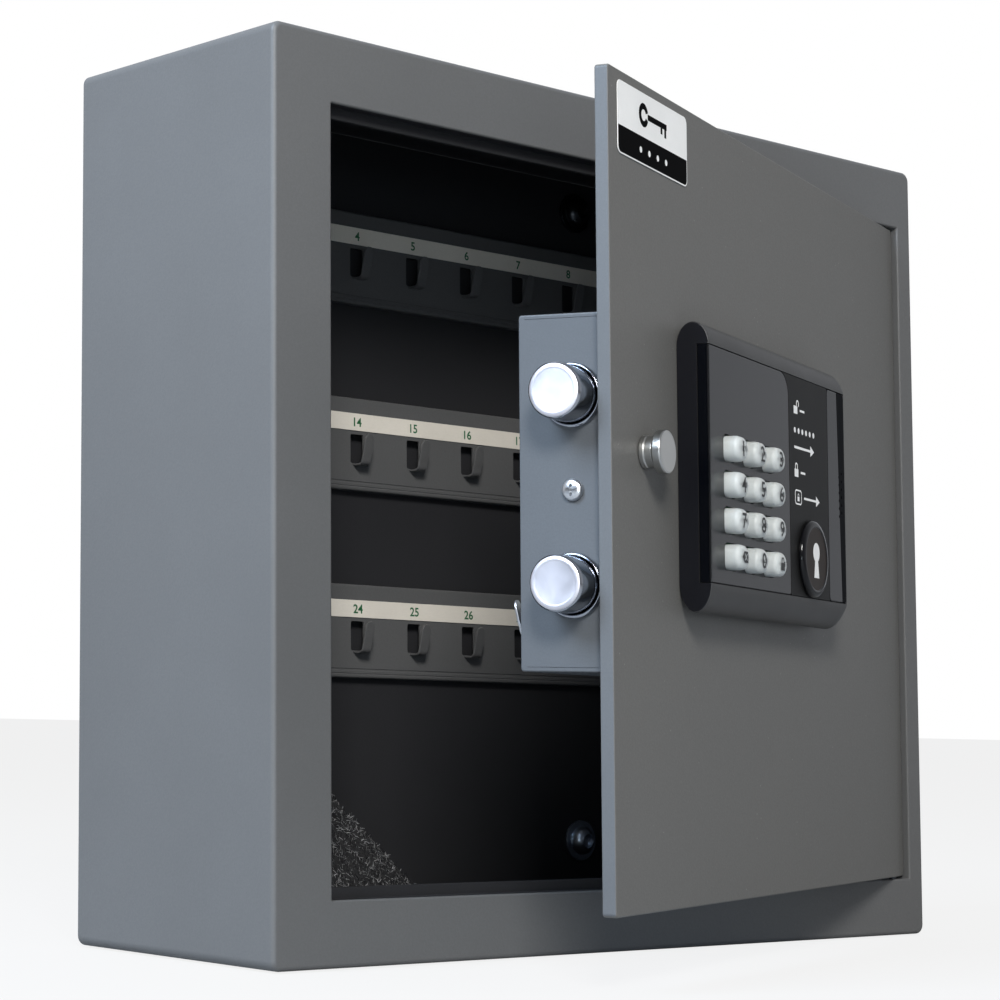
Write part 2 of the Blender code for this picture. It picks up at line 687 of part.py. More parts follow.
def gear_box():
    outline = rounded(
        LOCK_Y - GEAR_HALF_D, LOCK_Y + GEAR_HALF_D, LOCK_Z - GEAR_HALF_H, LOCK_Z + GEAR_HALF_H,
        2.5, 3,
    )
    return prism(outline, "x", GEAR_X0, GEAR_X1)


for label, z in zip(("upper", "lower"), BOLT_ZS):
    door_part(f"bolt_bush_{label}", CHROME, bolt_bush(z), smooth=True)
    bolt_origin = (BOLT_TIP, LOCK_Y, z)
    door_part(f"lock_bolt_{label}", CHROME, lock_bolt(z), origin=bolt_origin, smooth=True)

carrier = door_part("bolt_carrier", ZINC, bolt_carrier(), origin=(BOLT_BUTT, LOCK_Y, LOCK_Z))
cut(carrier, "carrier", disc(
    "x", LOCK_Y, LOCK_Z, LEAD_SCREW_D / 2 + 0.4, 20, BOLT_BUTT - 4, BOLT_BUTT + CARRIER_T + 4
))
screw_origin = (LEAD_SCREW_ORIGIN_X, LOCK_Y, LOCK_Z)
door_part("lead_screw", STEEL, lead_screw(), origin=screw_origin, smooth=True)
motor = door_part("gear_motor", STEEL, gear_box(), smooth=True)
fuse(motor, "motor_can", turned("x", LOCK_Y, LOCK_Z, MOTOR_PROFILE, 24))

# ------------------------------------------------------------------ hook rail on the lock case
DOOR_RAIL_TOP, DOOR_RAIL_IN = -23.4, 6.0
DOOR_RAIL_X0, DOOR_RAIL_X1 = CASE_X0 + DOOR_RAIL_IN, CASE_X1 - DOOR_RAIL_IN
DOOR_HOOKS, DOOR_PITCH = 6, 29.8
DOOR_RAIL_FACE = CASE_BACK + 1.4
DOOR_LABEL_IN = 0.6

door_rail_outline = rounded(
    DOOR_RAIL_X0, DOOR_RAIL_X1, DOOR_RAIL_TOP - RAIL_H, DOOR_RAIL_TOP, 1.0, 2
)
door_rail_shape = prism(door_rail_outline, "y", CASE_BACK + FIT, DOOR_RAIL_FACE)
door_hook_xs = spread(DOOR_HOOKS, DOOR_PITCH, middle=(CASE_X0 + CASE_X1) / 2)
door_rail = door_part("door_key_rail", ZINC, door_rail_shape)
cut(door_rail, "door_rail", *hook_slots(
    door_hook_xs, DOOR_RAIL_TOP, CASE_BACK - 1, CASE_BACK + 3
))
fuse(door_rail, "door_rail", *hook_tongues(door_hook_xs, DOOR_RAIL_FACE, DOOR_RAIL_TOP, -1))
door_label = label_strip(
    DOOR_RAIL_X0 + DOOR_LABEL_IN, DOOR_RAIL_X1 - DOOR_LABEL_IN, DOOR_RAIL_FACE, DOOR_RAIL_TOP, -1
)
door_part("door_label_strip", CREAM, door_label)

# ------------------------------------------------------------------ pull knob and sticker
KNOB_NECK_D, KNOB_HEAD_D, KNOB_NECK_L, KNOB_HEAD_L = 11.4, 15.8, 5.4, 3.8
STICKER_X0, STICKER_X1, STICKER_Z0, STICKER_Z1 = -315.5, -249.5, 117.0, 143.3


def pull_knob():
    """Foot, neck and head, from the door forward."""
    neck, head = KNOB_NECK_D / 2, KNOB_HEAD_D / 2
    foot_y = OUTER - FIT
    head_y = foot_y - KNOB_NECK_L
    tip_y = head_y - KNOB_HEAD_L
    profile = (
        (neck + 0.3, foot_y), (neck + 0.3, foot_y - 1.7), (neck, foot_y - 2.0),
        (neck, head_y), (head - 0.4, head_y - 0.1), (head, head_y - 0.6),
        (head, tip_y + 0.7), (head - 0.3, tip_y + 0.2), (head - 0.9, tip_y),
    )
    return turned("y", KNOB_X, KNOB_Z, profile, 28)


def knob_screw():
    seat = INNER + FIT
    profile = (
        (1.6, OUTER - 6.8), (2.0, OUTER - 6.4), (2.0, seat),
        (4.2, seat), (4.2, seat + 0.7), (3.2, seat + 1.4), (1.2, seat + 1.6),
    )
    return turned("y", KNOB_X, KNOB_Z, profile, 16)


knob = door_part("pull_knob", CHROME, pull_knob(), origin=(KNOB_X, OUTER, KNOB_Z), smooth=True)
cut(knob, "knob", disc("y", KNOB_X, KNOB_Z, KNOB_BORE_D / 2, 16, OUTER - 7.4, OUTER + PAST))
door_part("knob_screw", ZINC, knob_screw(), smooth=True)

sticker_outline = rounded(STICKER_X0, STICKER_X1, STICKER_Z0, STICKER_Z1, 2.6, 4)
door_part("door_sticker", STICKER, prism(sticker_outline, "y", OUTER - 0.15, OUTER - 0.4))

# ------------------------------------------------------------------ keypad housing
PAD_X0, PAD_X1, PAD_Z0, PAD_Z1 = -262.0, -105.8, -42.2, 64.6
PAD_DEPTH, PAD_NOSE, PAD_CORNER_UP, PAD_CORNER_LOW = 13.0, 6.4, 5.0, 10.0
PAD_FRONT_WALL, PAD_RECESS = 2.4, 1.6
PAD_FACE = OUTER - PAD_DEPTH
PAD_RIGHT_INSETS = (10.0, 7.0, 5.0, 3.0, 1.5, 0.5, 0.0)
PAD_WINDOW_Y = (PAD_FACE, OUTER - 6)
NOSE_STEPS = 12
PANEL_Z0, PANEL_Z1 = -31.2, 55.9
PANEL_OPEN_Z = (PANEL_Z0 - FIT, PANEL_Z1 + FIT)
FASCIA_X0, FASCIA_X1, FASCIA_CORNER = -262.0, -176.0, 9.0
FASCIA_LEG_N, FASCIA_LEG_T = 8.0, 1.4  # leg's end in front of the door, and its thickness
INFO_X0, INFO_X1 = -175.7, -129.0
STRIP_X0, STRIP_X1 = -128.7, -107.0
KEY_XS = (-242.5, -221.9, -201.3)
KEY_ZS = (19.3, 5.9, -7.5, -20.9)
KEY_W, KEY_H, KEY_FRONT = 11.6, 9.4, 19.0


def pad_section(x, depth, upper, lower):
    """Housing cut across: flat front, and a full round nose along its top and bottom."""
    back_reach, front_reach = PAD_NOSE - FIT, depth - PAD_NOSE
    noses = (
        (1, PANEL_Z1, upper, back_reach, front_reach),
        (-1, PANEL_Z0, lower, front_reach, back_reach),
    )
    points = []
    for way, edge, height, first, second in noses:
        for i in range(NOSE_STEPS + 1):
            angle = math.pi * i / NOSE_STEPS
            reach = first if i < NOSE_STEPS / 2 else second
            y = OUTER - PAD_NOSE + way * reach * math.cos(angle)
            points.append((x, y, edge + way * height * math.sin(angle)))
    return points


def round_off(radius, inset):
    """How far a round corner lies inside its square one, at this distance from the end."""
    if inset >= radius:
        return 0.0
    return radius - math.sqrt(radius**2 - (radius - inset) ** 2)


def pad_outer():
    upper, lower = PAD_Z1 - PANEL_Z1, PANEL_Z0 - PAD_Z0
    rings = [
        pad_section(PAD_X0, PAD_DEPTH - 0.5, upper - 0.5, lower - 0.5),
        pad_section(PAD_X0 + 0.5, PAD_DEPTH, upper, lower),
    ]
    for inset in PAD_RIGHT_INSETS:
        rings.append(pad_section(
            PAD_X1 - inset, PAD_DEPTH - round_off(0.8, inset),
            upper - round_off(PAD_CORNER_UP, inset), lower - round_off(PAD_CORNER_LOW, inset),
        ))
    return loft(rings)


def pad_cavity():
    outline = rounded(PAD_X0 + 4.2, PAD_X1 - 3.0, PANEL_Z0 + 1.8, PANEL_Z1 - 2.0, 3.0, 3)
    return prism(outline, "y", PAD_FACE + PAD_RECESS + PAD_FRONT_WALL, OUTER + PAST)


def pad_recess():
    outline = rounded(FASCIA_X0 - 3, STRIP_X1 + FIT, *PANEL_OPEN_Z, 2.0, 3)
    return prism(outline, "y", PAD_FACE - PAST, PAD_FACE + PAD_RECESS)


def pad_side_recess():
    return box(
        PAD_X0 - 3, PAD_X0 + FASCIA_LEG_T + FIT, PAD_FACE - PAST, OUTER - FASCIA_LEG_N,
        *PANEL_OPEN_Z,
    )


def pad_key_window():
    outline = rounded(KEY_XS[0] - 8, KEY_XS[-1] + 8, KEY_ZS[-1] - 7, KEY_ZS[0] + 7, 2.0, 2)
    return prism(outline, "y", *PAD_WINDOW_Y)


def flange_hole(y0, y1):
    return disc("y", OVERRIDE_X, OVERRIDE_Z, BARREL_FLANGE_D / 2 + 0.6, 28, y0, y1)


pad = door_part("keypad_housing", MATT_BLACK, pad_outer(), smooth=True)
pad_cuts = (
    pad_cavity(), pad_recess(), pad_side_recess(), pad_key_window(), flange_hole(*PAD_WINDOW_Y),
)
for index, shape in enumerate(pad_cuts):
    cut(pad, f"pad_{index}", shape)

# ------------------------------------------------------------------ plates on the keypad's front
PLATE_BACK = PAD_FACE + PAD_RECESS - FIT
PLATE_EDGE = 0.25
PLATE_LEVELS = ((PLATE_BACK, 0), (PAD_FACE + PLATE_EDGE, 0), (PAD_FACE, PLATE_EDGE))  # y, inset
FASCIA_SMALL_CORNER = 1.2
THROUGH_PLATE = (PAD_FACE - 2, OUTER - 9)
STRIP_CORNER = 2.0
SPEAKER_ROWS, SPEAKER_PITCH, SPEAKER_TOP, SPEAKER_HOLE_D = 6, 3.25, 22.3, 1.2
SPEAKER_COLUMNS = ((-111.4, 0.0), (-114.6, 1.6))  # x, drop below the first column


def fascia_plate():
    """Square at the left, a wide round at the upper right corner."""
    small = FASCIA_SMALL_CORNER
    rings = []
    for y, inset in PLATE_LEVELS:
        x0, x1 = FASCIA_X0 + inset, FASCIA_X1 - inset
        z0, z1 = PANEL_Z0 + inset, PANEL_Z1 - inset
        wide = FASCIA_CORNER - inset
        outline = [(x0, z0), (x1 - small, z0)]
        outline += arc(x1 - small, z0 + small, small, 300, 360, 2)
        outline += arc(x1 - wide, z1 - wide, wide, 0, 90, 6)
        outline.append((x0, z1))
        rings.append(place("y", outline, y))
    return loft(rings)


def fascia_leg():
    """Turns back along the housing's left side."""
    return box(
        PAD_X0, PAD_X0 + FASCIA_LEG_T, PAD_FACE + PLATE_EDGE, OUTER - FASCIA_LEG_N - FIT,
        PANEL_Z0, PANEL_Z1,
    )


def key_hole(x, z):
    half_w, half_h = KEY_W / 2 + 0.35, KEY_H / 2 + 0.35
    outline = rounded(x - half_w, x + half_w, z - half_h, z + half_h, 3.0, 3)
    return prism(outline, "y", *THROUGH_PLATE)


def info_plate():
    """Right of the fascia, running into the corner that the fascia's round leaves open."""
    radius = FASCIA_CORNER + FIT
    start = math.degrees(math.asin(FASCIA_CORNER / radius))
    outline = [(INFO_X0, PANEL_Z0), (INFO_X1, PANEL_Z0), (INFO_X1, PANEL_Z1)]
    outline += arc(FASCIA_X1 - FASCIA_CORNER, PANEL_Z1 - FASCIA_CORNER, radius, start, 0, 6)
    return prism(outline, "y", PLATE_BACK, PAD_FACE)


def side_strip():
    levels = [(y, inset, STRIP_CORNER - inset) for y, inset in PLATE_LEVELS]
    return layered(STRIP_X0, STRIP_X1, PANEL_Z0, PANEL_Z1, levels, 3)


def speaker_hole(x, z):
    return disc("y", x, z, SPEAKER_HOLE_D / 2, 8, *THROUGH_PLATE)


fascia = door_part("keypad_fascia", GLOSS_BLACK, fascia_plate())
fuse(fascia, "fascia_leg", fascia_leg())
cut(fascia, "key_holes", *[key_hole(x, z) for x in KEY_XS for z in KEY_ZS])
info = door_part("info_panel", MATT_BLACK, info_plate())
cut(info, "cap_hole", flange_hole(*THROUGH_PLATE))
strip = door_part("side_strip", GLOSS_BLACK, side_strip())
cut(strip, "speaker", *[
    speaker_hole(x, SPEAKER_TOP - SPEAKER_PITCH * row - drop)
    for row in range(SPEAKER_ROWS)
    for x, drop in SPEAKER_COLUMNS
])

# ------------------------------------------------------------------ keys and circuit board
KEY_ROWS = (("1", "2", "3"), ("4", "5", "6"), ("7", "8", "9"), ("clear", "0", "lock"))
KEY_LEVELS = (  # y, inset, corner radius
    (OUTER - 6.9, 0.0, 2.6), (OUTER - KEY_FRONT + 2.0, 0.0, 2.6),
    (OUTER - KEY_FRONT + 0.6, 0.6, 2.4), (OUTER - KEY_FRONT, 1.9, 2.0),
)
BOARD_X0, BOARD_X1, BOARD_Z0, BOARD_Z1 = -256.0, -178.0, -28.0, 36.0


def key(x, z):
    half_w, half_h = KEY_W / 2, KEY_H / 2
    return layered(x - half_w, x + half_w, z - half_h, z + half_h, KEY_LEVELS, 3)


for z, names in zip(KEY_ZS, KEY_ROWS):
    for x, name in zip(KEY_XS, names):
        key_origin = (x, OUTER - KEY_FRONT, z)
        door_part(f"key_{name}", KEY_WHITE, key(x, z), origin=key_origin, smooth=True)

board = box(BOARD_X0, BOARD_X1, OUTER - 5.0, OUTER - 3.4, BOARD_Z0, BOARD_Z1)
door_part("circuit_board", BOARD, board)

# ------------------------------------------------------------------ emergency lock under its cap
PLUG_D = 10.0
BARREL_FRONT, BARREL_BACK = OUTER - 12.2, 17.0
PLUG_FRONT, PLUG_BACK, PLUG_TIP = OUTER - 12.0, 17.4, 18.6
KEYWAY_HALF_W, KEYWAY_HALF_H, KEYWAY_DEPTH = 0.7, 3.4, 14
CAM_Y0, CAM_Y1, CAM_REACH, CAM_HALF = 18.9, 20.9, 14.0, 4.5
CAP_D, CAP_FRONT = 31.0, OUTER - 15.7


def lock_barrel():
    radius, flange, bore = BARREL_D / 2, BARREL_FLANGE_D / 2, PLUG_D / 2 + FIT
    outside = [
        (flange - 0.4, BARREL_FRONT), (flange, BARREL_FRONT + 0.4), (flange, BARREL_FRONT + 1.6),
        (radius, BARREL_FRONT + 1.6), (radius, BARREL_BACK),
    ]
    inside = [(bore, BARREL_FRONT), (bore, BARREL_BACK)]
    return tube("y", OVERRIDE_X, OVERRIDE_Z, outside, inside, 28)


def lock_plug():
    radius = PLUG_D / 2
    profile = (
        (radius - 0.3, PLUG_FRONT), (radius, PLUG_FRONT + 0.3), (radius, PLUG_BACK),
        (2.5, PLUG_BACK), (2.5, PLUG_TIP),
    )
    return turned("y", OVERRIDE_X, OVERRIDE_Z, profile, 24)


def keyway():
    return box(
        OVERRIDE_X - KEYWAY_HALF_W, OVERRIDE_X + KEYWAY_HALF_W,
        PLUG_FRONT - PAST, PLUG_FRONT + KEYWAY_DEPTH,
        OVERRIDE_Z - KEYWAY_HALF_H, OVERRIDE_Z + KEYWAY_HALF_H,
    )


def lock_cam():
    outline = rounded(
        OVERRIDE_X - CAM_REACH, OVERRIDE_X + CAM_HALF,
        OVERRIDE_Z - CAM_HALF, OVERRIDE_Z + CAM_HALF, 4.0, 3,
    )
    return prism(outline, "y", CAM_Y0, CAM_Y1)


def lock_cap():
    """Disc with a short spigot on its rear face."""
    radius, spigot = CAP_D / 2, BARREL_FLANGE_D / 2 - 1.5
    rear = PAD_FACE - FIT
    profile = (
        (spigot, rear + 0.6), (spigot, rear), (radius, rear), (radius, CAP_FRONT + 1.2),
        (radius - 0.7, CAP_FRONT + 0.5), (radius - 2.3, CAP_FRONT),
    )
    return turned("y", OVERRIDE_X, OVERRIDE_Z, profile, 32)


def override_origin(y):
    return (OVERRIDE_X, y, OVERRIDE_Z)


door_part("emergency_lock_barrel", BRASS, lock_barrel(), smooth=True)
plug = door_part(
    "emergency_lock_plug", BRASS, lock_plug(), origin=override_origin(0), smooth=True
)
cut(plug, "keyway", keyway())
cam_origin = override_origin((CAM_Y0 + CAM_Y1) / 2)
door_part("emergency_lock_cam", STEEL, lock_cam(), origin=cam_origin)
cap_origin = override_origin(PAD_FACE)
door_part("emergency_lock_cap", GLOSS_BLACK, lock_cap(), origin=cap_origin, smooth=True)

# ------------------------------------------------------------------ battery box, cells and lid
BAT_WALL = 1.2
BAT_MID_X, BAT_MID_Z = (BAT_X0 + BAT_X1) / 2, (BAT_Z0 + BAT_Z1) / 2
CELL_D, CELL_L, CELL_PITCH, CELLS = 14.2, 50.0, 15.2, 4
CELL_Y, CELL_Z0 = 24.3, 5.2
LID_T, LID_PLUG_IN = 1.6, 2.5


def battery_hollow():
    return box(
        BAT_X0 + BAT_WALL, BAT_X1 - BAT_WALL, BAT_Y0 + BAT_WALL, BAT_Y1 + PAST,
        BAT_Z0 + BAT_WALL, BAT_Z1 - BAT_WALL,
    )


def battery_cell(x, way):
    """Cylinder with a raised nub at its end; way is 1 with the nub up, -1 down."""
    radius = CELL_D / 2
    flat = CELL_Z0 if way > 0 else CELL_Z0 + CELL_L
    tip = flat + way * CELL_L
    profile = (
        (radius - 0.5, flat), (radius, flat + way * 0.5), (radius, tip - way * 1.9),
        (radius - 0.8, tip - way * 1.4), (2.8, tip - way * 1.4), (2.8, tip),
    )
    return turned("z", x, CELL_Y, profile, 16)


def battery_lid():
    front = CASE_BACK + FIT
    outline = rounded(BAT_X0 - 1.5, BAT_X1 + 1.5, BAT_Z0 - 0.5, BAT_Z1 + 0.8, 2.0, 3)
    return prism(outline, "y", front, front + LID_T)


def battery_lid_plug():
    return box(
        BAT_X0 + LID_PLUG_IN, BAT_X1 - LID_PLUG_IN, CASE_BACK - 1.6, CASE_BACK + 1.0,
        BAT_Z0 + LID_PLUG_IN, BAT_Z1 - LID_PLUG_IN,
    )


tray_outline = rounded(BAT_X0, BAT_X1, BAT_Z0, BAT_Z1, 1.5, 2)
tray = door_part("battery_box", MATT_BLACK, prism(tray_outline, "y", BAT_Y0, BAT_Y1))
cut(tray, "battery_box", battery_hollow())
for index, x in enumerate(spread(CELLS, CELL_PITCH, middle=BAT_MID_X)):
    cell = battery_cell(x, -1 if index % 2 else 1)
    door_part(f"battery_{index + 1}", CELL, cell, smooth=True)
lid_origin = (BAT_MID_X, CASE_BACK, BAT_MID_Z)
lid = door_part("battery_lid", MATT_BLACK, battery_lid(), origin=lid_origin)
fuse(lid, "lid_plug", battery_lid_plug())

# ------------------------------------------------------------------ code reset button
# radius, y; it stands out of the back of the lock case
RESET_PROFILE = (
    (3.8, CASE_BACK - 6.0), (3.8, CASE_BACK - 3.6), (2.6, CASE_BACK - 3.6),
    (2.6, CASE_BACK + 1.6), (2.1, CASE_BACK + 2.0),
)
reset_shape = turned("y", RESET_X, RESET_Z, RESET_PROFILE, 20)
reset_origin = (RESET_X, CASE_BACK, RESET_Z)
door_part("reset_button", RED, reset_shape, origin=reset_origin, smooth=True)
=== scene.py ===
# Key cabinet with its door open: a folded shell with three rows of numbered hooks and a felt
# mat, and a door that carries a bolt lock, a short hook rail, a pull knob and a keypad.
# X runs along the width, Z is up, the front faces -Y and the back is near y = 0. Door pieces
# are written in the door's own axes: door shut, hinge axis at x = y = 0, free edge towards -X,
# outer face towards -Y. Lengths are in millimetres unless noted.
import json
import math
import random

import bmesh
import bpy
from mathutils import Matrix, Vector


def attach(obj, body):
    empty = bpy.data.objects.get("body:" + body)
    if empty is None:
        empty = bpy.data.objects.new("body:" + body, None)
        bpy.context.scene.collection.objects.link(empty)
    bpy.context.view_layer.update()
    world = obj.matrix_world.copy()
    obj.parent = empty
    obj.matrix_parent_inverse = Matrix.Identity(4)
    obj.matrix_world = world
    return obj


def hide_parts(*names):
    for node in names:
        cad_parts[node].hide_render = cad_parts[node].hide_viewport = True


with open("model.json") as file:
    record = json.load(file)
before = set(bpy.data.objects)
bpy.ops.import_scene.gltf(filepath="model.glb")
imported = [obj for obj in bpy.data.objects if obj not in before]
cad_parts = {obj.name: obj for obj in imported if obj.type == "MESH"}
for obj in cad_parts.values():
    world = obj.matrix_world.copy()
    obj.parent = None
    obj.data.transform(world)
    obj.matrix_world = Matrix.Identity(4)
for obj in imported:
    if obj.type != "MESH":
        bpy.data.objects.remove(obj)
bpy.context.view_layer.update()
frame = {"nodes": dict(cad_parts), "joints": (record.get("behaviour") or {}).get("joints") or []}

MM = 0.001  # one millimetre in metres
random.seed(7)

# ---------------------------------------------------------------- where the frame puts things
HINGE = next(joint for joint in frame["joints"] if joint["name"] == "door_hinge")
OPEN_TURN = math.radians(-HINGE["range_deg"][0])
HINGE_X, HINGE_Y = HINGE["pos_m"][0] / MM, HINGE["pos_m"][1] / MM
CABINET_PLACE = Matrix.Scale(MM, 4)
DOOR_PLACE = (
    Matrix.Translation((HINGE_X * MM, HINGE_Y * MM, 0))
    @ Matrix.Rotation(OPEN_TURN, 4, "Z")
    @ Matrix.Scale(MM, 4)
)


class Box:
    """Extent of a CAD node: x0 to x1 with middle x, and so on, in the axes of its place."""

    def __init__(self, node, place=DOOR_PLACE):
        undo = place.inverted()
        points = [undo @ vertex.co for vertex in frame["nodes"][node].data.vertices]
        (self.x0, self.x1), (self.y0, self.y1), (self.z0, self.z1) = [
            (min(values), max(values)) for values in zip(*points)
        ]
        self.x = (self.x0 + self.x1) / 2
        self.y = (self.y0 + self.y1) / 2
        self.z = (self.z0 + self.z1) / 2


SHELL = Box("cabinet_shell", CABINET_PLACE)
DOOR = Box("door_panel")
OUTER, INNER = DOOR.y0, DOOR.y1


# ---------------------------------------------------------------- shader nodes
class Nodes:
    """Short calls for building the node tree of one material or world."""

    def __init__(self, owner):
        owner.use_nodes = True
        self.owner = owner
        self.tree = owner.node_tree

    def feed(self, node, inputs):
        """Links sockets and sets plain values, by input name or number."""
        for key, value in inputs.items():
            if isinstance(value, bpy.types.NodeSocket):
                self.tree.links.new(value, node.inputs[key])
            else:
                node.inputs[key].default_value = value

    def add(self, kind, inputs={}, **settings):
        node = self.tree.nodes.new("ShaderNode" + kind)
        for key, value in settings.items():
            setattr(node, key, value)
        self.feed(node, inputs)
        return node

    def surface(self, inputs):
        """Feeds the Principled shader and returns the material."""
        self.feed(self.tree.nodes["Principled BSDF"], inputs)
        return self.owner

    def coords(self, stretch=(1, 1, 1), turn=0.0):
        source = self.add("TexCoord").outputs["Object"]
        inputs = {"Vector": source, "Scale": stretch, "Rotation": (0, 0, turn)}
        return self.add("Mapping", inputs).outputs["Vector"]

    def attribute(self, name):
        return self.add("Attribute", attribute_name=name).outputs["Fac"]

    def noise(self, vector, scale, detail=3.0, rough=0.5, distortion=0.0):
        inputs = {
            "Vector": vector, "Scale": scale, "Detail": detail,
            "Roughness": rough, "Distortion": distortion,
        }
        return self.add("TexNoise", inputs).outputs["Fac"]

    def remap(self, value, to, span=(0.3, 0.7)):
        """Maps the span of a value to another range, clamped."""
        inputs = {
            "Value": value, "From Min": span[0], "From Max": span[1],
            "To Min": to[0], "To Max": to[1],
        }
        return self.add("MapRange", inputs).outputs["Result"]

    def blend(self, factor, first, second):
        first, second = [
            (*colour, 1.0) if isinstance(colour, tuple) else colour for colour in (first, second)
        ]
        inputs = {0: factor, 6: first, 7: second}
        return self.add("Mix", inputs, data_type="RGBA").outputs[2]

    def mix(self, pattern, first, second, to=(0.0, 1.0), span=(0.3, 0.7)):
        """Blends two colours by a remapped pattern."""
        return self.blend(self.remap(pattern, to, span), first, second)

    def math(self, operation, first, second):
        return self.add("Math", {0: first, 1: second}, operation=operation).outputs[0]

    def bump(self, height, depth, normal=None):
        """A bump whose depth is in millimetres, on top of another normal if given."""
        inputs = {"Height": height, "Distance": depth * MM}
        if normal is not None:
            inputs["Normal"] = normal
        return self.add("Bump", inputs).outputs["Normal"]


def new_material(name):
    return Nodes(bpy.data.materials.new(name))


def tone(colour, factor):
    return tuple(min(1.0, part * factor) for part in colour)


# ---------------------------------------------------------------- kinds of material
def paint(name, colour, rough, peel=0.03, speck=0.0, cell=1.1, spec=0.35):
    """Powder coat: orange peel of depth peel and size cell, finer grain, clouds and specks."""
    nodes = new_material(name)
    coords = nodes.coords()
    cloud = nodes.noise(coords, scale=9.0, detail=4.0, rough=0.6)
    fine = nodes.noise(coords, scale=1500.0, detail=2.0, rough=0.6)
    base = nodes.mix(cloud, tone(colour, 0.95), tone(colour, 1.05))
    base = nodes.mix(fine, base, tone(colour, 0.82), to=(0.0, 0.35), span=(0.35, 0.65))
    if speck:
        cells = nodes.add("TexVoronoi", {"Vector": coords, "Scale": 230.0}, feature="F1")
        dots = nodes.remap(cells.outputs["Distance"], to=(1.0, 0.0), span=(0.05, 0.09))
        patches = nodes.noise(coords, scale=120.0, detail=0.0)
        pick = nodes.remap(patches, to=(0.0, speck), span=(0.6, 0.66))
        base = nodes.blend(nodes.math("MULTIPLY", dots, pick), base, tone(colour, 2.6))
    broad_rough = nodes.remap(cloud, to=(rough - 0.05, rough + 0.05))
    fine_rough = nodes.remap(fine, to=(-0.04, 0.04))
    peeled = nodes.bump(nodes.noise(coords, scale=1000.0 / cell, detail=1.0, rough=0.4), peel)
    return nodes.surface({
        "Base Color": base,
        "Roughness": nodes.math("ADD", broad_rough, fine_rough),
        "Specular IOR Level": spec,
        "Normal": nodes.bump(fine, peel * 0.35, peeled),
    })


def metal(name, colour, rough, turned=0.0, grain=0.0, tarnish=0.06):
    """Plated or bright metal; turned is the depth of tool marks read from the ring attribute."""
    nodes = new_material(name)
    coords = nodes.coords()
    smear = nodes.noise(coords, scale=60.0, detail=4.0, rough=0.6, distortion=0.4)
    base = nodes.mix(smear, tone(colour, 1.0 - tarnish), colour)
    roughness = nodes.remap(smear, to=(rough * 0.8, rough * 1.25))
    normal = nodes.bump(nodes.noise(coords, scale=300.0, detail=2.0), 0.004)
    if turned:
        line = nodes.add("CombineXYZ", {0: nodes.attribute("ring")}).outputs[0]
        marks = nodes.noise(line, scale=9.0, detail=3.0, rough=0.7)
        normal = nodes.bump(marks, turned, normal)
    if grain:
        fine = nodes.noise(nodes.coords(), scale=1400.0, detail=3.0, rough=0.6)
        normal = nodes.bump(fine, grain, normal)
    return nodes.surface({
        "Metallic": 1.0, "Base Color": base, "Roughness": roughness, "Normal": normal,
    })


def plastic(name, colour, rough, grain=0.0, grain_size=0.25, smudge=0.0, subsurface=0.0, spec=0.5):
    """Moulded plastic: grain is the depth of its texture, smudge the added roughness."""
    nodes = new_material(name)
    coords = nodes.coords()
    cloud = nodes.noise(coords, scale=22.0, detail=4.0, rough=0.6)
    fine = nodes.noise(coords, scale=1000.0 / grain_size, detail=2.0, rough=0.6)
    base = nodes.mix(cloud, tone(colour, 0.94), tone(colour, 1.06))
    inputs = {
        "Base Color": nodes.mix(
            fine, base, tone(colour, 0.8), to=(0.0, 0.25), span=(0.35, 0.65)
        ),
        "Roughness": nodes.remap(cloud, to=(rough, rough + smudge), span=(0.35, 0.75)),
        "Specular IOR Level": spec,
        "Normal": nodes.bump(fine, grain) if grain else nodes.bump(cloud, 0.01),
    }
    if subsurface:
        inputs["Subsurface Weight"] = subsurface
        inputs["Subsurface Radius"] = (1.0, 0.95, 0.9)
        inputs["Subsurface Scale"] = 0.0012
    return nodes.surface(inputs)


def card(name, colour):
    """Card strip: paper fibre, slightly uneven."""
    nodes = new_material(name)
    coords = nodes.coords()
    fibres = nodes.noise(nodes.coords(stretch=(0.35, 1, 1)), scale=1700.0, detail=3.0, rough=0.6)
    cloud = nodes.noise(coords, scale=35.0, detail=3.0, rough=0.6)
    base = nodes.mix(cloud, tone(colour, 0.94), tone(colour, 1.04))
    return nodes.surface({
        "Base Color": nodes.mix(
            fibres, base, tone(colour, 0.86), to=(0.0, 0.3), span=(0.35, 0.7)
        ),
        "Roughness": nodes.remap(fibres, to=(0.5, 0.7)),
        "Normal": nodes.bump(fibres, 0.012),
    })


def ink(name, colour, rough=0.5):
    nodes = new_material(name)
    mottle = nodes.noise(nodes.coords(), scale=2600.0, detail=2.0, rough=0.6)
    pale = tuple(min(1.0, part + 0.08) for part in colour)
    return nodes.surface({
        "Base Color": nodes.mix(mottle, colour, pale, to=(0.0, 0.45), span=(0.4, 0.8)),
        "Roughness": nodes.remap(mottle, to=(rough - 0.06, rough + 0.06)),
    })


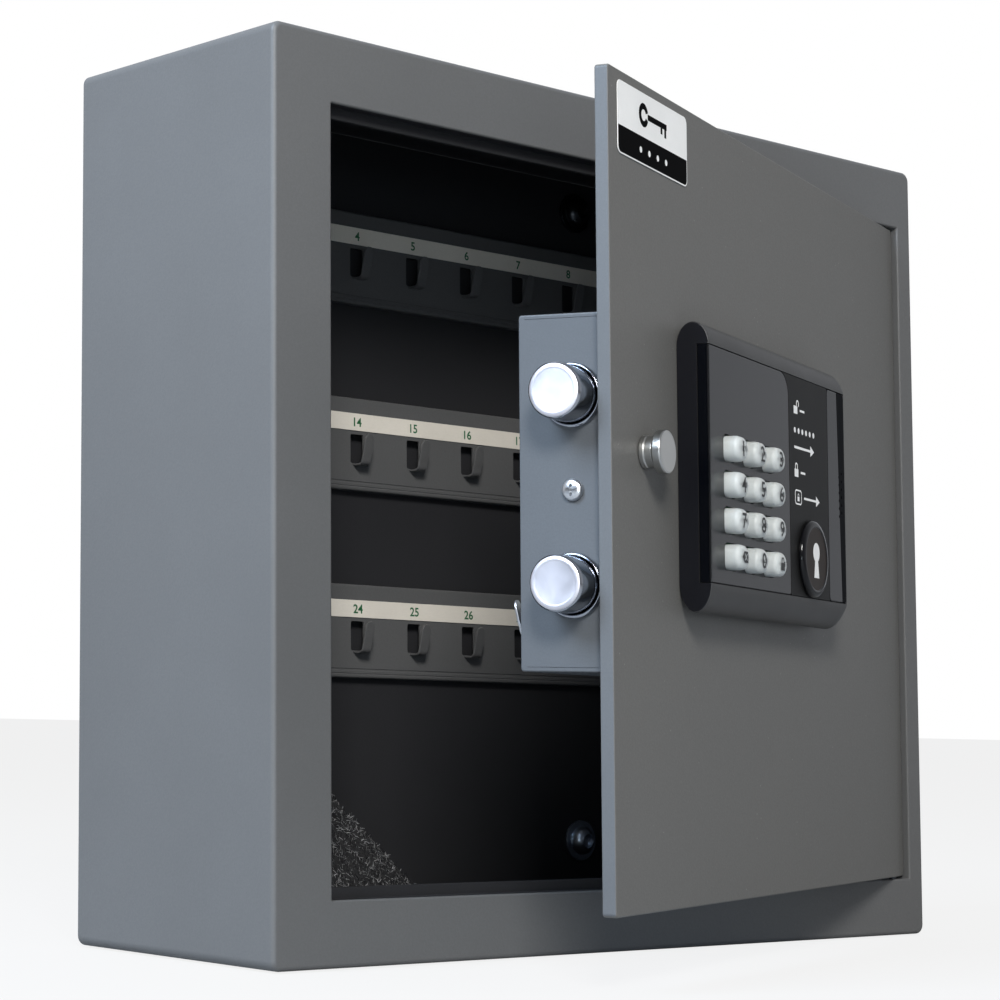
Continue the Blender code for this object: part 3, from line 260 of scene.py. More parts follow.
def felt(name):
    """Needle felt: the attribute tone gives each fibre its own grey."""
    nodes = new_material(name)
    coords = nodes.coords()
    mottle = nodes.noise(coords, scale=420.0, detail=4.0, rough=0.7, distortion=0.6)
    shade = nodes.math("ADD", nodes.attribute("tone"), nodes.remap(mottle, to=(-0.12, 0.12)))
    ramp = nodes.add("ValToRGB", {0: shade})
    stops = ramp.color_ramp.elements
    stops[0].color = (0.008, 0.008, 0.010, 1)
    stops[1].color = (0.46, 0.46, 0.47, 1)
    stops.new(0.55).color = (0.030, 0.030, 0.034, 1)
    pile = nodes.noise(coords, scale=900.0, detail=4.0, rough=0.7)
    return nodes.surface({
        "Base Color": ramp.outputs[0], "Roughness": 0.9, "Specular IOR Level": 0.15,
        "Sheen Weight": 0.04, "Sheen Roughness": 0.5, "Normal": nodes.bump(pile, 0.25),
    })


def board(name):
    """Solder mask with a fine rectangular maze of tracks, laid out in the door's X and Z."""
    nodes = new_material(name)
    split = nodes.add("SeparateXYZ", {0: nodes.coords(turn=-OPEN_TURN)})
    flat = nodes.add("CombineXYZ", {0: split.outputs[0], 1: split.outputs[2]})
    brick = nodes.add("TexBrick", {
        "Vector": flat.outputs[0], "Scale": 260.0, "Mortar Size": 0.06,
        "Color1": (0.02, 0.13, 0.05, 1),
        "Color2": (0.025, 0.16, 0.06, 1),
        "Mortar": (0.06, 0.26, 0.1, 1),
    })
    return nodes.surface({
        "Base Color": brick.outputs["Color"], "Roughness": 0.35,
        "Normal": nodes.bump(brick.outputs["Fac"], 0.03),
    })


def cell_sleeve(name):
    """Battery sleeve in two plain colours, split at one height (in metres)."""
    nodes = new_material(name)
    coords = nodes.coords()
    height = nodes.add("SeparateXYZ", {0: coords}).outputs[2]
    scuff = nodes.noise(coords, scale=700.0, detail=3.0, rough=0.6)
    base = nodes.mix(height, (0.02, 0.03, 0.055), (0.45, 0.28, 0.1), span=(0.0415, 0.0417))
    return nodes.surface({
        "Base Color": nodes.mix(
            scuff, base, (0.3, 0.3, 0.32), to=(0.0, 0.3), span=(0.55, 0.8)
        ),
        "Metallic": 0.3,
        "Roughness": nodes.remap(scuff, to=(0.28, 0.42)),
        "Normal": nodes.bump(scuff, 0.01),
    })


# ---------------------------------------------------------------- materials
GREY = paint("grey_powder_coat_fine", (0.106, 0.1065, 0.107), rough=0.46)
# A much darker copy of the grey powder coat for the cabinet's inner faces: painted shade inside
# the cabinet.
PAINTED_SHADE_GREY = paint("grey_powder_coat_painted_shade", (0.019, 0.019, 0.021), rough=0.55, spec=0.3)
DOOR_PAINT = paint("door_powder_coat_fine", (0.120, 0.118, 0.112), rough=0.5, speck=0.5)
EDGE_PAINT = paint("door_edge_paint", (0.090, 0.096, 0.103), rough=0.5)
RAIL_PAINT = paint(
    "rail_powder_coat_fine", (0.088, 0.088, 0.089), rough=0.5, peel=0.022, cell=0.9, spec=0.5
)
CASE_PAINT = paint(
    "lock_case_paint_fine", (0.078, 0.085, 0.094), rough=0.42, peel=0.025, cell=0.9
)
CARD = card("label_card_fine", (0.70, 0.655, 0.58))
GREEN_INK = ink("numeral_green", (0.004, 0.10, 0.03))
DARK_INK = ink("numeral_dark", (0.008, 0.008, 0.009))
WHITE_INK = ink("mark_white", (0.78, 0.78, 0.77))
FELT = felt("needle_felt_fibre")
CHROME = metal("chromed_steel_fine", (0.42, 0.44, 0.48), rough=0.12, turned=0.003)
CHROME_FACE = metal(
    "chromed_steel_face", (0.67, 0.655, 0.70), rough=0.44, turned=0.006, tarnish=0.12
)
SATIN_FACE = metal("satin_steel_knob_face", (0.66, 0.66, 0.64), rough=0.36, turned=0.008)
SATIN = metal("satin_steel_knob", (0.42, 0.42, 0.41), rough=0.34, turned=0.008)
# Two copies of one bolt steel: a near-black one that paints shade, and a lighter one that paints
# the light the lower bolts catch.
STEEL_PAINTED_SHADE = metal("bolt_steel_painted_shade", (0.05, 0.055, 0.06), rough=0.3, turned=0.004)
BOLT_STEEL_PAINTED_LIGHT = metal("bolt_steel_painted_light", (0.42, 0.47, 0.54), rough=0.34, turned=0.004)
ZINC = metal("zinc_plated_fine", (0.62, 0.63, 0.65), rough=0.3, grain=0.004)
STEEL = metal("bright_steel_fine", (0.52, 0.52, 0.53), rough=0.27, turned=0.006, grain=0.003)
BRASS = metal("lock_brass_fine", (0.72, 0.54, 0.26), rough=0.3, turned=0.008)
MATT = plastic(
    "matt_black_abs_fine", (0.031, 0.031, 0.031), rough=0.42,
    grain=0.02, grain_size=0.3, smudge=0.08,
)
# Near-black copy of the housing plastic for its left end face: painted shade.
HOUSING_END_PAINTED_SHADE = plastic(
    "housing_end_painted_shade", (0.0045, 0.0048, 0.007), rough=0.34,
    grain=0.01, grain_size=0.3, smudge=0.08, spec=0.2,
)
INFO_BLACK = plastic(
    "info_panel_matt", (0.009, 0.009, 0.009), rough=0.5,
    grain=0.012, grain_size=0.2, smudge=0.04, spec=0.16,
)
RIM_BLACK = plastic(
    "strip_rim_black", (0.0016, 0.002, 0.003), rough=0.5, grain=0.004, spec=0.02
)
LEG_BLACK = plastic(
    "fascia_side_black", (0.0012, 0.0016, 0.003), rough=0.2, smudge=0.05, spec=0.1
)
GLOSS = plastic("gloss_black_pmma_fine", (0.003, 0.003, 0.004), rough=0.2, smudge=0.05)
STRIP_BLACK = plastic(
    "strip_gloss_black", (0.003, 0.003, 0.004), rough=0.1, smudge=0.05, spec=0.3
)
CAP_FACE = plastic(
    "cap_disc_brown_black", (0.012, 0.0065, 0.0035), rough=0.35, smudge=0.05, spec=0.12
)
WHITE_KEY = plastic(
    "key_white_silicone_fine", (0.50, 0.525, 0.52), rough=0.4,
    grain=0.006, grain_size=0.4, smudge=0.1, subsurface=0.35,
)
VINYL = plastic("sticker_vinyl_white", (0.80, 0.80, 0.79), rough=0.4, smudge=0.1)
VINYL_BLACK = plastic("sticker_vinyl_black", (0.0012, 0.0012, 0.0014), rough=0.6, spec=0.02)
BOARD = board("circuit_board_tracks")
RED = plastic("red_abs_fine", (0.5, 0.03, 0.02), rough=0.3, grain=0.008, smudge=0.1)
CELL = cell_sleeve("cell_jacket_two_colour")


# ---------------------------------------------------------------- outlines
def arc(x, z, radius, start, end, steps=12):
    """Points along an arc; angles in degrees."""
    angles = [math.radians(start + (end - start) * i / steps) for i in range(steps + 1)]
    return [(x + radius * math.cos(a), z + radius * math.sin(a)) for a in angles]


def circle(x, z, radius, segments):
    angles = [2 * math.pi * i / segments for i in range(segments)]
    return [(x + radius * math.cos(a), z + radius * math.sin(a)) for a in angles]


def rect(x0, x1, z0, z1):
    return [(x0, z0), (x1, z0), (x1, z1), (x0, z1)]


def rounded(x0, x1, z0, z1, radius, steps=6):
    return (
        arc(x1 - radius, z1 - radius, radius, 0, 90, steps)
        + arc(x0 + radius, z1 - radius, radius, 90, 180, steps)
        + arc(x0 + radius, z0 + radius, radius, 180, 270, steps)
        + arc(x1 - radius, z0 + radius, radius, 270, 360, steps)
    )


def edge_steps(radius, steps=5):
    """(inset, depth) pairs round an edge, from the face to the side."""
    angles = [math.pi / 2 * i / steps for i in range(steps + 1)]
    return [(radius * (1 - math.sin(a)), radius * (1 - math.cos(a))) for a in angles]


def smooth_profile(points, radius, steps=4):
    """Rounds the corners of a (radius, position) profile."""
    out = [points[0]]
    for before, corner, after in zip(points, points[1:], points[2:]):
        before, corner, after = Vector(before), Vector(corner), Vector(after)
        cut = min(radius, (before - corner).length * 0.45, (after - corner).length * 0.45)
        start = corner + (before - corner).normalized() * cut
        end = corner + (after - corner).normalized() * cut
        for i in range(steps + 1):
            t = i / steps
            out.append(tuple(start.lerp(corner, t).lerp(corner.lerp(end, t), t)))
    out.append(points[-1])
    return out


def level(axis, outline, along):
    """An outline laid square to an axis, at one place along it."""
    if axis == "x":
        return [(along, y, z) for y, z in outline]
    if axis == "y":
        return [(x, along, z) for x, z in outline]
    return [(x, y, along) for x, y in outline]


# ---------------------------------------------------------------- meshes
def face_outwards(mesh):
    bmesh.ops.recalc_face_normals(mesh, faces=mesh.faces)


def loft(mesh, rings, caps=True, material=0, wrap=False):
    """Joins rings of points with faces; wrap joins the last ring to the first."""
    loops = [[mesh.verts.new(point) for point in ring] for ring in rings]
    pairs = list(zip(loops, loops[1:])) + ([(loops[-1], loops[0])] if wrap else [])
    count = len(loops[0])
    made = []
    for near, far in pairs:
        for i in range(count):
            j = (i + 1) % count
            made.append(mesh.faces.new((near[i], near[j], far[j], far[i])))
    if caps and not wrap:
        made.append(mesh.faces.new(loops[0]))
        made.append(mesh.faces.new(loops[-1]))
    for face in made:
        face.material_index = material
    return loops


def slab(mesh, x_span, z_span, y_span, corner, edge, steps=8):
    """A plate across Y with rounded corners and rounded edges on both faces."""
    (x0, x1), (z0, z1), (y0, y1) = x_span, z_span, y_span
    way = 1 if y1 > y0 else -1
    edges = edge_steps(edge)
    stations = [(inset, y0 + way * depth) for inset, depth in edges]
    stations += [(inset, y1 - way * depth) for inset, depth in edges[::-1]]
    rings = []
    for inset, y in stations:
        radius = max(corner - inset, 0.02)
        outline = rounded(x0 + inset, x1 - inset, z0 + inset, z1 - inset, radius, steps)
        rings.append(level("y", outline, y))
    loft(mesh, rings)


def turned(mesh, axis, centre, profile, segments, caps=False, wrap=False):
    """Turns a (radius, position) profile and stores a tool-mark coordinate on each point."""
    layers = mesh.verts.layers.float
    layer = layers.get("ring") or layers.new("ring")
    rings = [level(axis, circle(*centre, radius, segments), at) for radius, at in profile]
    for loop, (radius, at) in zip(loft(mesh, rings, caps=caps, wrap=wrap), profile):
        for vertex in loop:
            vertex[layer] = radius + at


def patch(mesh, outline, y, material=1):
    """A flat printed shape that faces -Y."""
    face = mesh.faces.new([mesh.verts.new((x, y, z)) for x, z in outline])
    face.normal_update()
    if face.normal.y > 0:
        face.normal_flip()
    face.material_index = material


def glyphs(mesh, text, x, z, y, way, size, bold, squeeze=1.0):
    """Flat numerals at y in the second material, facing -Y (way -1) or +Y (way 1)."""
    curve = bpy.data.curves.new("glyph", "FONT")
    curve.body = text
    curve.size = size / 0.73  # cap height to font size
    curve.align_x = "CENTER"
    curve.resolution_u = 5
    curve.offset = bold
    obj = bpy.data.objects.new("glyph", curve)
    bpy.context.scene.collection.objects.link(obj)
    evaluated = obj.evaluated_get(bpy.context.evaluated_depsgraph_get())
    data = bpy.data.meshes.new_from_object(evaluated)
    across = [vertex.co.x for vertex in data.vertices]
    upward = [vertex.co.y for vertex in data.vertices]
    middle_x = (min(across) + max(across)) / 2
    middle_z = (min(upward) + max(upward)) / 2
    points = [
        mesh.verts.new((x - way * (right - middle_x) * squeeze, y, z + rise - middle_z))
        for right, rise in zip(across, upward)
    ]
    for polygon in data.polygons:
        face = mesh.faces.new([points[i] for i in polygon.vertices])
        face.material_index = 1
        face.normal_update()
        if face.normal.y * way < 0:
            face.normal_flip()
    bpy.data.meshes.remove(data)
    bpy.data.objects.remove(obj, do_unlink=True)
    bpy.data.curves.remove(curve)


def prisms(outlines, axis, start, end, mesh=None):
    """Straight prisms along an axis, in a new mesh or added to one."""
    mesh = mesh or bmesh.new()
    for outline in outlines:
        loft(mesh, [level(axis, outline, start), level(axis, outline, end)])
    return mesh


def temporary(mesh, materials=()):
    face_outwards(mesh)
    data = bpy.data.meshes.new("tmp")
    mesh.to_mesh(data)
    mesh.free()
    for material in materials:
        data.materials.append(material)
    obj = bpy.data.objects.new("tmp", data)
    bpy.context.scene.collection.objects.link(obj)
    return obj


def carve(mesh, *cutters, materials=()):
    """Cuts closed meshes from a mesh, one after another, and returns the result."""
    obj = temporary(mesh, materials)
    tools = [temporary(cutter) for cutter in cutters]
    for tool in tools:
        modifier = obj.modifiers.new("cut", "BOOLEAN")
        modifier.operation = "DIFFERENCE"
        modifier.solver = "EXACT"
        modifier.object = tool
    evaluated = obj.evaluated_get(bpy.context.evaluated_depsgraph_get())
    result = bpy.data.meshes.new_from_object(evaluated)
    out = bmesh.new()
    out.from_mesh(result)
    for used in [obj] + tools:
        data = used.data
        bpy.data.objects.remove(used, do_unlink=True)
        bpy.data.meshes.remove(data)
    bpy.data.meshes.remove(result)
    return out


def second_material(mesh, chosen):
    """Gives the faces for which chosen(face, centre) holds the second material."""
    for face in mesh.faces:
        face.material_index = int(chosen(face, face.calc_center_median()))


def shade(data, materials, angle):
    for material in materials:
        data.materials.append(material)
    data.shade_smooth()
    data.set_sharp_from_angle(angle=math.radians(angle))


def round_edges(obj, width, segments):
    modifier = obj.modifiers.new("edge_round", "BEVEL")
    modifier.width = width * MM
    modifier.segments = segments
    modifier.limit_method = "ANGLE"
    modifier.angle_limit = math.radians(40)


def make(name, mesh, materials, body, node=None, angle=30, bevel=0.0, recalc=True, even=True):
    """Turns a mesh into an object that rides on a body and stands in for a CAD node."""
    if recalc:
        face_outwards(mesh)
    data = bpy.data.meshes.new(name)
    mesh.to_mesh(data)
    mesh.free()
    data.transform(CABINET_PLACE if body == "cabinet" else DOOR_PLACE)
    shade(data, materials, angle)
    obj = bpy.data.objects.new(name, data)
    bpy.context.scene.collection.objects.link(obj)
    if bevel:
        round_edges(obj, bevel, segments=2)
    if even:
        modifier = obj.modifiers.new("even_shading", "WEIGHTED_NORMAL")
        modifier.keep_sharp = True
        modifier.weight = 90
    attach(obj, body)
    if node:
        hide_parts(node)


# ---------------------------------------------------------------- cabinet shell
FRONT = SHELL.y0
DOOR_GAP = 1.0
OUTSIDE = (SHELL.x0, SHELL.x1, SHELL.z0, SHELL.z1)
OPENING = (
    HINGE_X + DOOR.x0 - DOOR_GAP, HINGE_X + DOOR.x1 + 0.75,
    DOOR.z0 - DOOR_GAP, DOOR.z1 + DOOR_GAP,
)
SHEET = 2.0  # thickness
BEND = 2.0  # radius of the front edges
OUTSIDE_CORNER, OPENING_CORNER = 4.0, 0.5
OPENING_EDGE = 0.9  # radius of the edge round the opening
RETURN_DEPTH, LEFT_RETURN, RIGHT_RETURN = 8.5, 5.5, 6.5  # sheet folded in round the opening
STOP_LIP = 4.3  # height of the lips above and below the opening
LIP_END = HINGE_X - 6.0


def frame_ring(box, grow, radius, y, side_y={}, lip=0.0):
    """A rounded rectangle with extra points where the lips end.

    Sides: R, L, T and B, with t and b for the stretches of T and B that carry a lip.
    side_y holds the depth of sides that differ from y.
    """
    x0, x1, z0, z1 = box[0] - grow, box[1] + grow, box[2] - grow, box[3] + grow
    shift = {"t": -lip, "b": lip}
    points = []

    def add(side, x, z):
        points.append((x, side_y.get(side, y), z + shift.get(side, 0.0)))

    def corner(x, z, start, sides):
        for i, point in enumerate(arc(x, z, radius, start, start + 90, 6)):
            add(sides[i >= 3], *point)

    corner(x1 - radius, z1 - radius, 0, "RT")
    add("T", LIP_END + 0.05, z1)
    add("t", LIP_END - 0.05, z1)
    corner(x0 + radius, z1 - radius, 90, "tL")
    corner(x0 + radius, z0 + radius, 180, "Lb")
    add("b", LIP_END - 0.05, z0)
    add("B", LIP_END + 0.05, z0)
    corner(x1 - radius, z0 + radius, 270, "BR")
    return points


def shell_rings():
    """Rings from the rear outer edge, round the front and the opening, to the rear inside."""
    rings = [
        frame_ring(OUTSIDE, 0, OUTSIDE_CORNER, y) for y in (0.0, -1.0, FRONT + BEND + 1.5)
    ]
    for inset, depth in edge_steps(BEND, 7)[::-1]:
        rings.append(frame_ring(OUTSIDE, -inset, OUTSIDE_CORNER - inset * 0.7, FRONT + depth))
    for grow, depth in edge_steps(OPENING_EDGE):
        rings.append(frame_ring(OPENING, grow, OPENING_CORNER + grow, FRONT + depth))
    folds = {"L": FRONT + LEFT_RETURN, "R": FRONT + RIGHT_RETURN}
    before = {side: y - 0.2 for side, y in folds.items()}
    full = FRONT + RETURN_DEPTH
    rings.append(frame_ring(OPENING, 0, OPENING_CORNER, full - 2.3, before))
    # height of the lip, distance in front of the full depth
    for lip, ahead in (
        (0.25, 2.0), (STOP_LIP - 0.25, 2.0), (STOP_LIP, 1.7), (STOP_LIP, 0.3), (STOP_LIP - 0.3, 0),
    ):
        rings.append(frame_ring(OPENING, 0, OPENING_CORNER, full - ahead, folds, lip))
    rings.append(frame_ring(OPENING, SHEET, 0.3, full, folds))
    rings.append(frame_ring(OPENING, SHEET, 0.3, FRONT + SHEET))
    for y in (FRONT + SHEET, -1.0, 0.0):
        rings.append(frame_ring(OUTSIDE, -SHEET, 2.0, y))
    return rings


def build_shell():
    mesh = bmesh.new()
    loft(mesh, shell_rings(), wrap=True)

    # Inner faces take the darker copy of the powder coat, which paints the shade inside the
    # cabinet; the folded-in flange from the lip ends to the hinge side keeps the plain grey.
    def inside(face, centre):
        flange = (
            LIP_END - 0.2 < centre.x < OPENING[1] + 0.1
            and OPENING[2] - 0.1 < centre.z < OPENING[3] + 0.1
            and centre.y < FRONT + RETURN_DEPTH
        )
        return (
            centre.y > FRONT + SHEET + 0.01
            and SHELL.x0 + 1.9 < centre.x < SHELL.x1 - 1.9
            and SHELL.z0 + 1.9 < centre.z < SHELL.z1 - 1.9
            and not flange
        )

    second_material(mesh, inside)
    make(
        "shell_folded_sheet", mesh, [GREY, PAINTED_SHADE_GREY],
        "cabinet", "cabinet_shell", angle=35,
    )


# ---------------------------------------------------------------- back panel and its bolts
BACK = Box("back_panel", CABINET_PLACE)
WALL_BOLTS = [Box(f"wall_bolt_{i}", CABINET_PLACE) for i in (1, 2, 3, 4)]
RAILS = [Box(f"key_rail_{i}", CABINET_PLACE) for i in (1, 2, 3)]
# (radius, position) from the rear edge of the weld mark to its front
WELD_MARK = [(0.01, 0.02), (1.6, 0.02), (1.9, 0.09), (2.5, 0.1), (2.9, 0.02), (2.95, -0.2)]


def build_back_panel():
    mesh = bmesh.new()
    slab(mesh, (BACK.x0, BACK.x1), (BACK.z0, BACK.z1), (BACK.y0, BACK.y1), 2.0, 0.25)
    mesh = carve(mesh, prisms([circle(box.x, box.z, 5.0, 48) for box in WALL_BOLTS], "y", -5, 3))
    # The front and edges take the darker copy of the powder coat that paints the shade inside the
    # cabinet; the rear face keeps the plain grey.
    second_material(mesh, lambda face, at: at.y > -0.3 and abs(face.normal.y) > 0.5)
    make(
        "back_panel_plate", mesh, [PAINTED_SHADE_GREY, GREY], "cabinet", "back_panel"
    )


def build_wall_bolt(number, box):
    """Shank and washer, then a domed head with a hole in its middle."""
    washer = BACK.y0 - 0.3
    head = washer - 1.5
    shank = [
        (0.01, -0.3), (3.6, -0.3), (4.0, -0.6), (4.0, washer), (9.25, washer),
        (9.25, head), (6.6, head), (6.4, head - 0.2),
    ]
    dome = [  # radius, distance in front of the washer
        (6.5, -0.2), (6.5, 0.9), (6.35, 1.5), (5.9, 2.5), (5.1, 3.5), (4.1, 4.2),
        (3.4, 4.6), (3.2, 4.75), (3.1, 4.6), (2.9, 2.6), (0.01, 2.6),
    ]
    mesh = bmesh.new()
    turned(mesh, "y", (box.x, box.z), smooth_profile(shank, 0.25, 3), 56)
    dome = [(radius, head - out) for radius, out in dome]
    turned(mesh, "y", (box.x, box.z), dome, 56, caps=True)
    make(
        # The upper bolts get the near-black steel as painted shade, and the lower ones get the
        # lighter steel as painted light.
        f"wall_bolt_head_{number}", mesh, [STEEL_PAINTED_SHADE if box.z > 0 else BOLT_STEEL_PAINTED_LIGHT],
        "cabinet", f"wall_bolt_{number}", angle=40,
    )


def build_weld_marks():
    mesh = bmesh.new()
    for box in RAILS:
        for z in (box.z1 - 3.0, box.z1 - 37.4):
            for x in range(-150, 151, 60):
                turned(mesh, "y", (x, z), WELD_MARK, 28, caps=True)
    make("rear_weld_marks", mesh, [GREY], "cabinet", angle=60)


# ---------------------------------------------------------------- key rails with hooks
RAIL_FACE = BACK.y0 - 4.5
RAIL_HEIGHT, RAIL_SHEET, RAIL_FLANGE = 40.4, 1.0, 3.4
SLOT_WIDTH, SLOT_HEIGHT, SLOT_DROP = 7.3, 12.7, 15.9
HOOK_PITCH = 31.9
HOOK_WIDTH, HOOK_REACH, HOOK_RISE, HOOK_SHEET = 4.8, 9.0, 12.4, 1.0
LABEL_DROP, LABEL_HEIGHT = 6.8, 7.5
# hook centre line: distance out of the face, height above the slot's foot
HOOK_LINE = [
    (-0.6, -0.5), (HOOK_REACH * 0.12, -0.62), (HOOK_REACH * 0.30, -0.72),
    (HOOK_REACH * 0.48, -0.62), (HOOK_REACH * 0.61, -0.2), (HOOK_REACH * 0.675, 0.6),
    (HOOK_REACH * 0.71, 1.6), (HOOK_REACH * 0.745, 3.0), (HOOK_REACH * 0.82, HOOK_RISE * 0.42),
    (HOOK_REACH * 0.91, HOOK_RISE * 0.72), (HOOK_REACH, HOOK_RISE),
]
# two pressed lines low on the rail: height above its foot, depth into the face
PRESSED_LINES = [
    (4.1, 0.0), (3.9, 0.35), (3.3, 0.35), (3.1, 0.0), (2.1, 0.0), (1.95, 0.25), (1.6, 0.25),
    (1.45, 0.0),
]


def hook_curve():
    """The centre line as a Catmull-Rom curve, three steps to a span, x into the face."""
    points = [Vector((-out, height)) for out, height in HOOK_LINE]
    last = len(points) - 1
    curve = []
    for i in range(last):
        before, start, end, after = (
            points[max(i - 1, 0)], points[i], points[i + 1], points[min(i + 2, last)]
        )
        for k in range(3):
            t = k / 3
            curve.append(0.5 * (
                (2 * start)
                + (end - before) * t
                + (2 * before - 5 * start + 4 * end - after) * t * t
                + (3 * start - before - 3 * end + after) * t**3
            ))
    return curve + [points[-1]]


def hook(mesh, x, face, foot, way):
    """A tongue folded out of its slot, towards -Y when way is 1, with a round tip."""
    curve = hook_curve()
    lengths = [0.0]
    for start, end in zip(curve, curve[1:]):
        lengths.append(lengths[-1] + (end - start).length)
    rings = []
    for i, point in enumerate(curve):
        along = (curve[min(i + 1, len(curve) - 1)] - curve[max(i - 1, 0)]).normalized()
        normal = Vector((-along.y, along.x))
        left = lengths[-1] - lengths[i]
        half = HOOK_WIDTH / 2
        if left < half:
            rounding = math.sqrt(max(half * half - (half - left) ** 2, 0.0))
            half = max(rounding, HOOK_WIDTH * 0.16)
        ring = []
        section = rounded(
            -half, half, -HOOK_SHEET / 2, HOOK_SHEET / 2, min(0.3, half * 0.4), 3
        )
        for across, thick in section:
            spot = point + normal * thick
            ring.append((x + across, face + way * spot.x, foot + spot.y))
        rings.append(ring)
    loft(mesh, rings)


def slot_outlines(centres, top):
    half = SLOT_WIDTH / 2
    head = top - SLOT_DROP
    return [rounded(x - half, x + half, head - SLOT_HEIGHT, head, 0.9, 5) for x in centres]


def build_rail(number, box, centres):
    """Folded channel: top flange, face with a row of slots, bottom flange."""
    top, foot = box.z1, box.z1 - RAIL_HEIGHT
    back = RAIL_SHEET + RAIL_FLANGE
    section = [(back, top - RAIL_SHEET), (back, top)]  # depth behind the face, z
    section += arc(1.0, top - 1.0, 1.0, 90, 180, 4)
    section += [(depth, foot + height) for height, depth in PRESSED_LINES]
    section += arc(1.0, foot + 1.0, 1.0, 180, 270, 4)
    section += [
        (back, foot), (back, foot + RAIL_SHEET),
        (RAIL_SHEET, foot + RAIL_SHEET), (RAIL_SHEET, top - RAIL_SHEET),
    ]
    section = [(RAIL_FACE + depth, z) for depth, z in section]
    mesh = carve(
        prisms([section], "x", box.x0, box.x1),
        prisms(slot_outlines(centres, top), "y", RAIL_FACE - 2, RAIL_FACE + 2),
    )
    for x in centres:
        hook(mesh, x, RAIL_FACE, top - SLOT_DROP - SLOT_HEIGHT, 1)
    make(
        f"rail_{number}_folded", mesh, [RAIL_PAINT],
        "cabinet", f"key_rail_{number}", bevel=0.18,
    )


def build_label(name, body, x0, x1, top, face, way, centres, first, node):
    """Numbered card strip; it faces -Y when way is 1."""
    head = top - LABEL_DROP
    front = face - way * 0.45
    mesh = bmesh.new()
    slab(mesh, (x0, x1), (head - LABEL_HEIGHT, head), (face - way * 0.1, front), 0.5, 0.08, 4)
    face_outwards(mesh)
    for i, x in enumerate(centres):
        glyphs(
            mesh, str(first + i), x, head - LABEL_HEIGHT * 0.5, front - way * 0.03, -way,
            size=3.9, bold=0.11,
        )
    make(name, mesh, [CARD, GREEN_INK], body, node, recalc=False)


def build_rails():
    centres = [(k - 4.5) * HOOK_PITCH for k in range(10)]
    for i, box in enumerate(RAILS):
        build_rail(i + 1, box, centres)
        build_label(
            f"rail_{i + 1}_numbers", "cabinet", box.x0, box.x1, box.z1, RAIL_FACE, 1,
            centres, 10 * i + 1, f"label_strip_{i + 1}",
        )


# ---------------------------------------------------------------- felt floor mat
MAT_SHEET = 3.6
MAT_HALF = MAT_SHEET / 2 - 0.35  # half thickness before lumps and fibres
MAT_X0, MAT_X1, MAT_Y0, MAT_Y1 = -178.0, 140.0, -98.0, -6.0
MAT_CELLS_X, MAT_CELLS_Y = 120, 42
MAT_BEND = 12.0  # radius of the lifted corner's bend
FOLD_START = Vector((11.0, MAT_Y1))  # where the fold line leaves the rear edge
FOLD_ANGLE, FOLD_LIFT = math.radians(38.0), math.radians(60.0)


def mat_point(x, y, up):
    """A point up above the mat's mid-sheet, which bends up at its rear left corner."""
    normal = Vector((-math.sin(FOLD_ANGLE), math.cos(FOLD_ANGLE)))
    along = Vector((-math.cos(FOLD_ANGLE), -math.sin(FOLD_ANGLE)))
    point = Vector((x, y)) - FOLD_START
    distance = point.dot(normal)
    turn = min(max(distance / MAT_BEND, 0.0), FOLD_LIFT)
    beyond = max(distance - MAT_BEND * FOLD_LIFT, 0.0)
    if distance <= 0:
        advance, height = distance, 0.0
    else:
        advance = MAT_BEND * math.sin(turn) + beyond * math.cos(turn)
        height = MAT_BEND * (1 - math.cos(turn)) + beyond * math.sin(turn)
    advance -= up * math.sin(turn)
    height += up * math.cos(turn)
    flat = FOLD_START + along * point.dot(along) + normal * advance
    return Vector((flat.x, flat.y, SHELL.z0 + SHEET + 0.3 + MAT_SHEET / 2 + height))


def mat_grid(mesh, tones, draw, up):
    """One face of the mat: a grid of points, lumpy on the upper face."""
    grid = []
    for i in range(MAT_CELLS_X + 1):
        row = []
        for j in range(MAT_CELLS_Y + 1):
            x = MAT_X0 + (MAT_X1 - MAT_X0) * i / MAT_CELLS_X
            y = MAT_Y0 + (MAT_Y1 - MAT_Y0) * j / MAT_CELLS_Y
            wave = 0.22 * math.sin(x * 0.11 + y * 0.07) * math.sin(y * 0.19)
            lump = draw.uniform(-0.28, 0.28) + wave
            height = up
            if up > 0:
                on_edge = min(i, MAT_CELLS_X - i, j, MAT_CELLS_Y - j) == 0
                height += lump - (0.35 if on_edge else 0.0)
            vertex = mesh.verts.new(mat_point(x, y, height))
            vertex[tones] = 0.06 + draw.uniform(-0.05, 0.08)
            row.append(vertex)
        grid.append(row)
    return grid


def fibre(mesh, tones, draw, x, y, up, heading, length, rise, width, value):
    """A curled three-sided hair that lies along the pile and lifts at its end."""
    steps = 5
    bend = draw.uniform(-1.3, 1.3)
    up -= 0.25
    rings = []
    for k in range(steps + 1):
        t = k / steps
        radius = width * (1 - 0.75 * t)
        centre = mat_point(x, y, up)
        beside = mat_point(x - math.sin(heading) * 0.5, y + math.cos(heading) * 0.5, up)
        side_way = (beside - centre).normalized()
        up_way = (mat_point(x, y, up + 0.5) - centre).normalized()
        rings.append([
            centre + side_way * radius * math.cos(a) + up_way * radius * math.sin(a)
            for a in (0.5, 2.6, 4.7)
        ])
        x += math.cos(heading) * length / steps
        y += math.sin(heading) * length / steps
        x = min(max(x, MAT_X0 - 0.8), MAT_X1 + 0.8)
        y = min(max(y, MAT_Y0 - 0.8), MAT_Y1 + 0.5)
        up += rise / steps * (1.6 - 1.2 * t)
        heading += bend / steps
    for loop in loft(mesh, rings):
        for vertex in loop:
            vertex[tones] = value


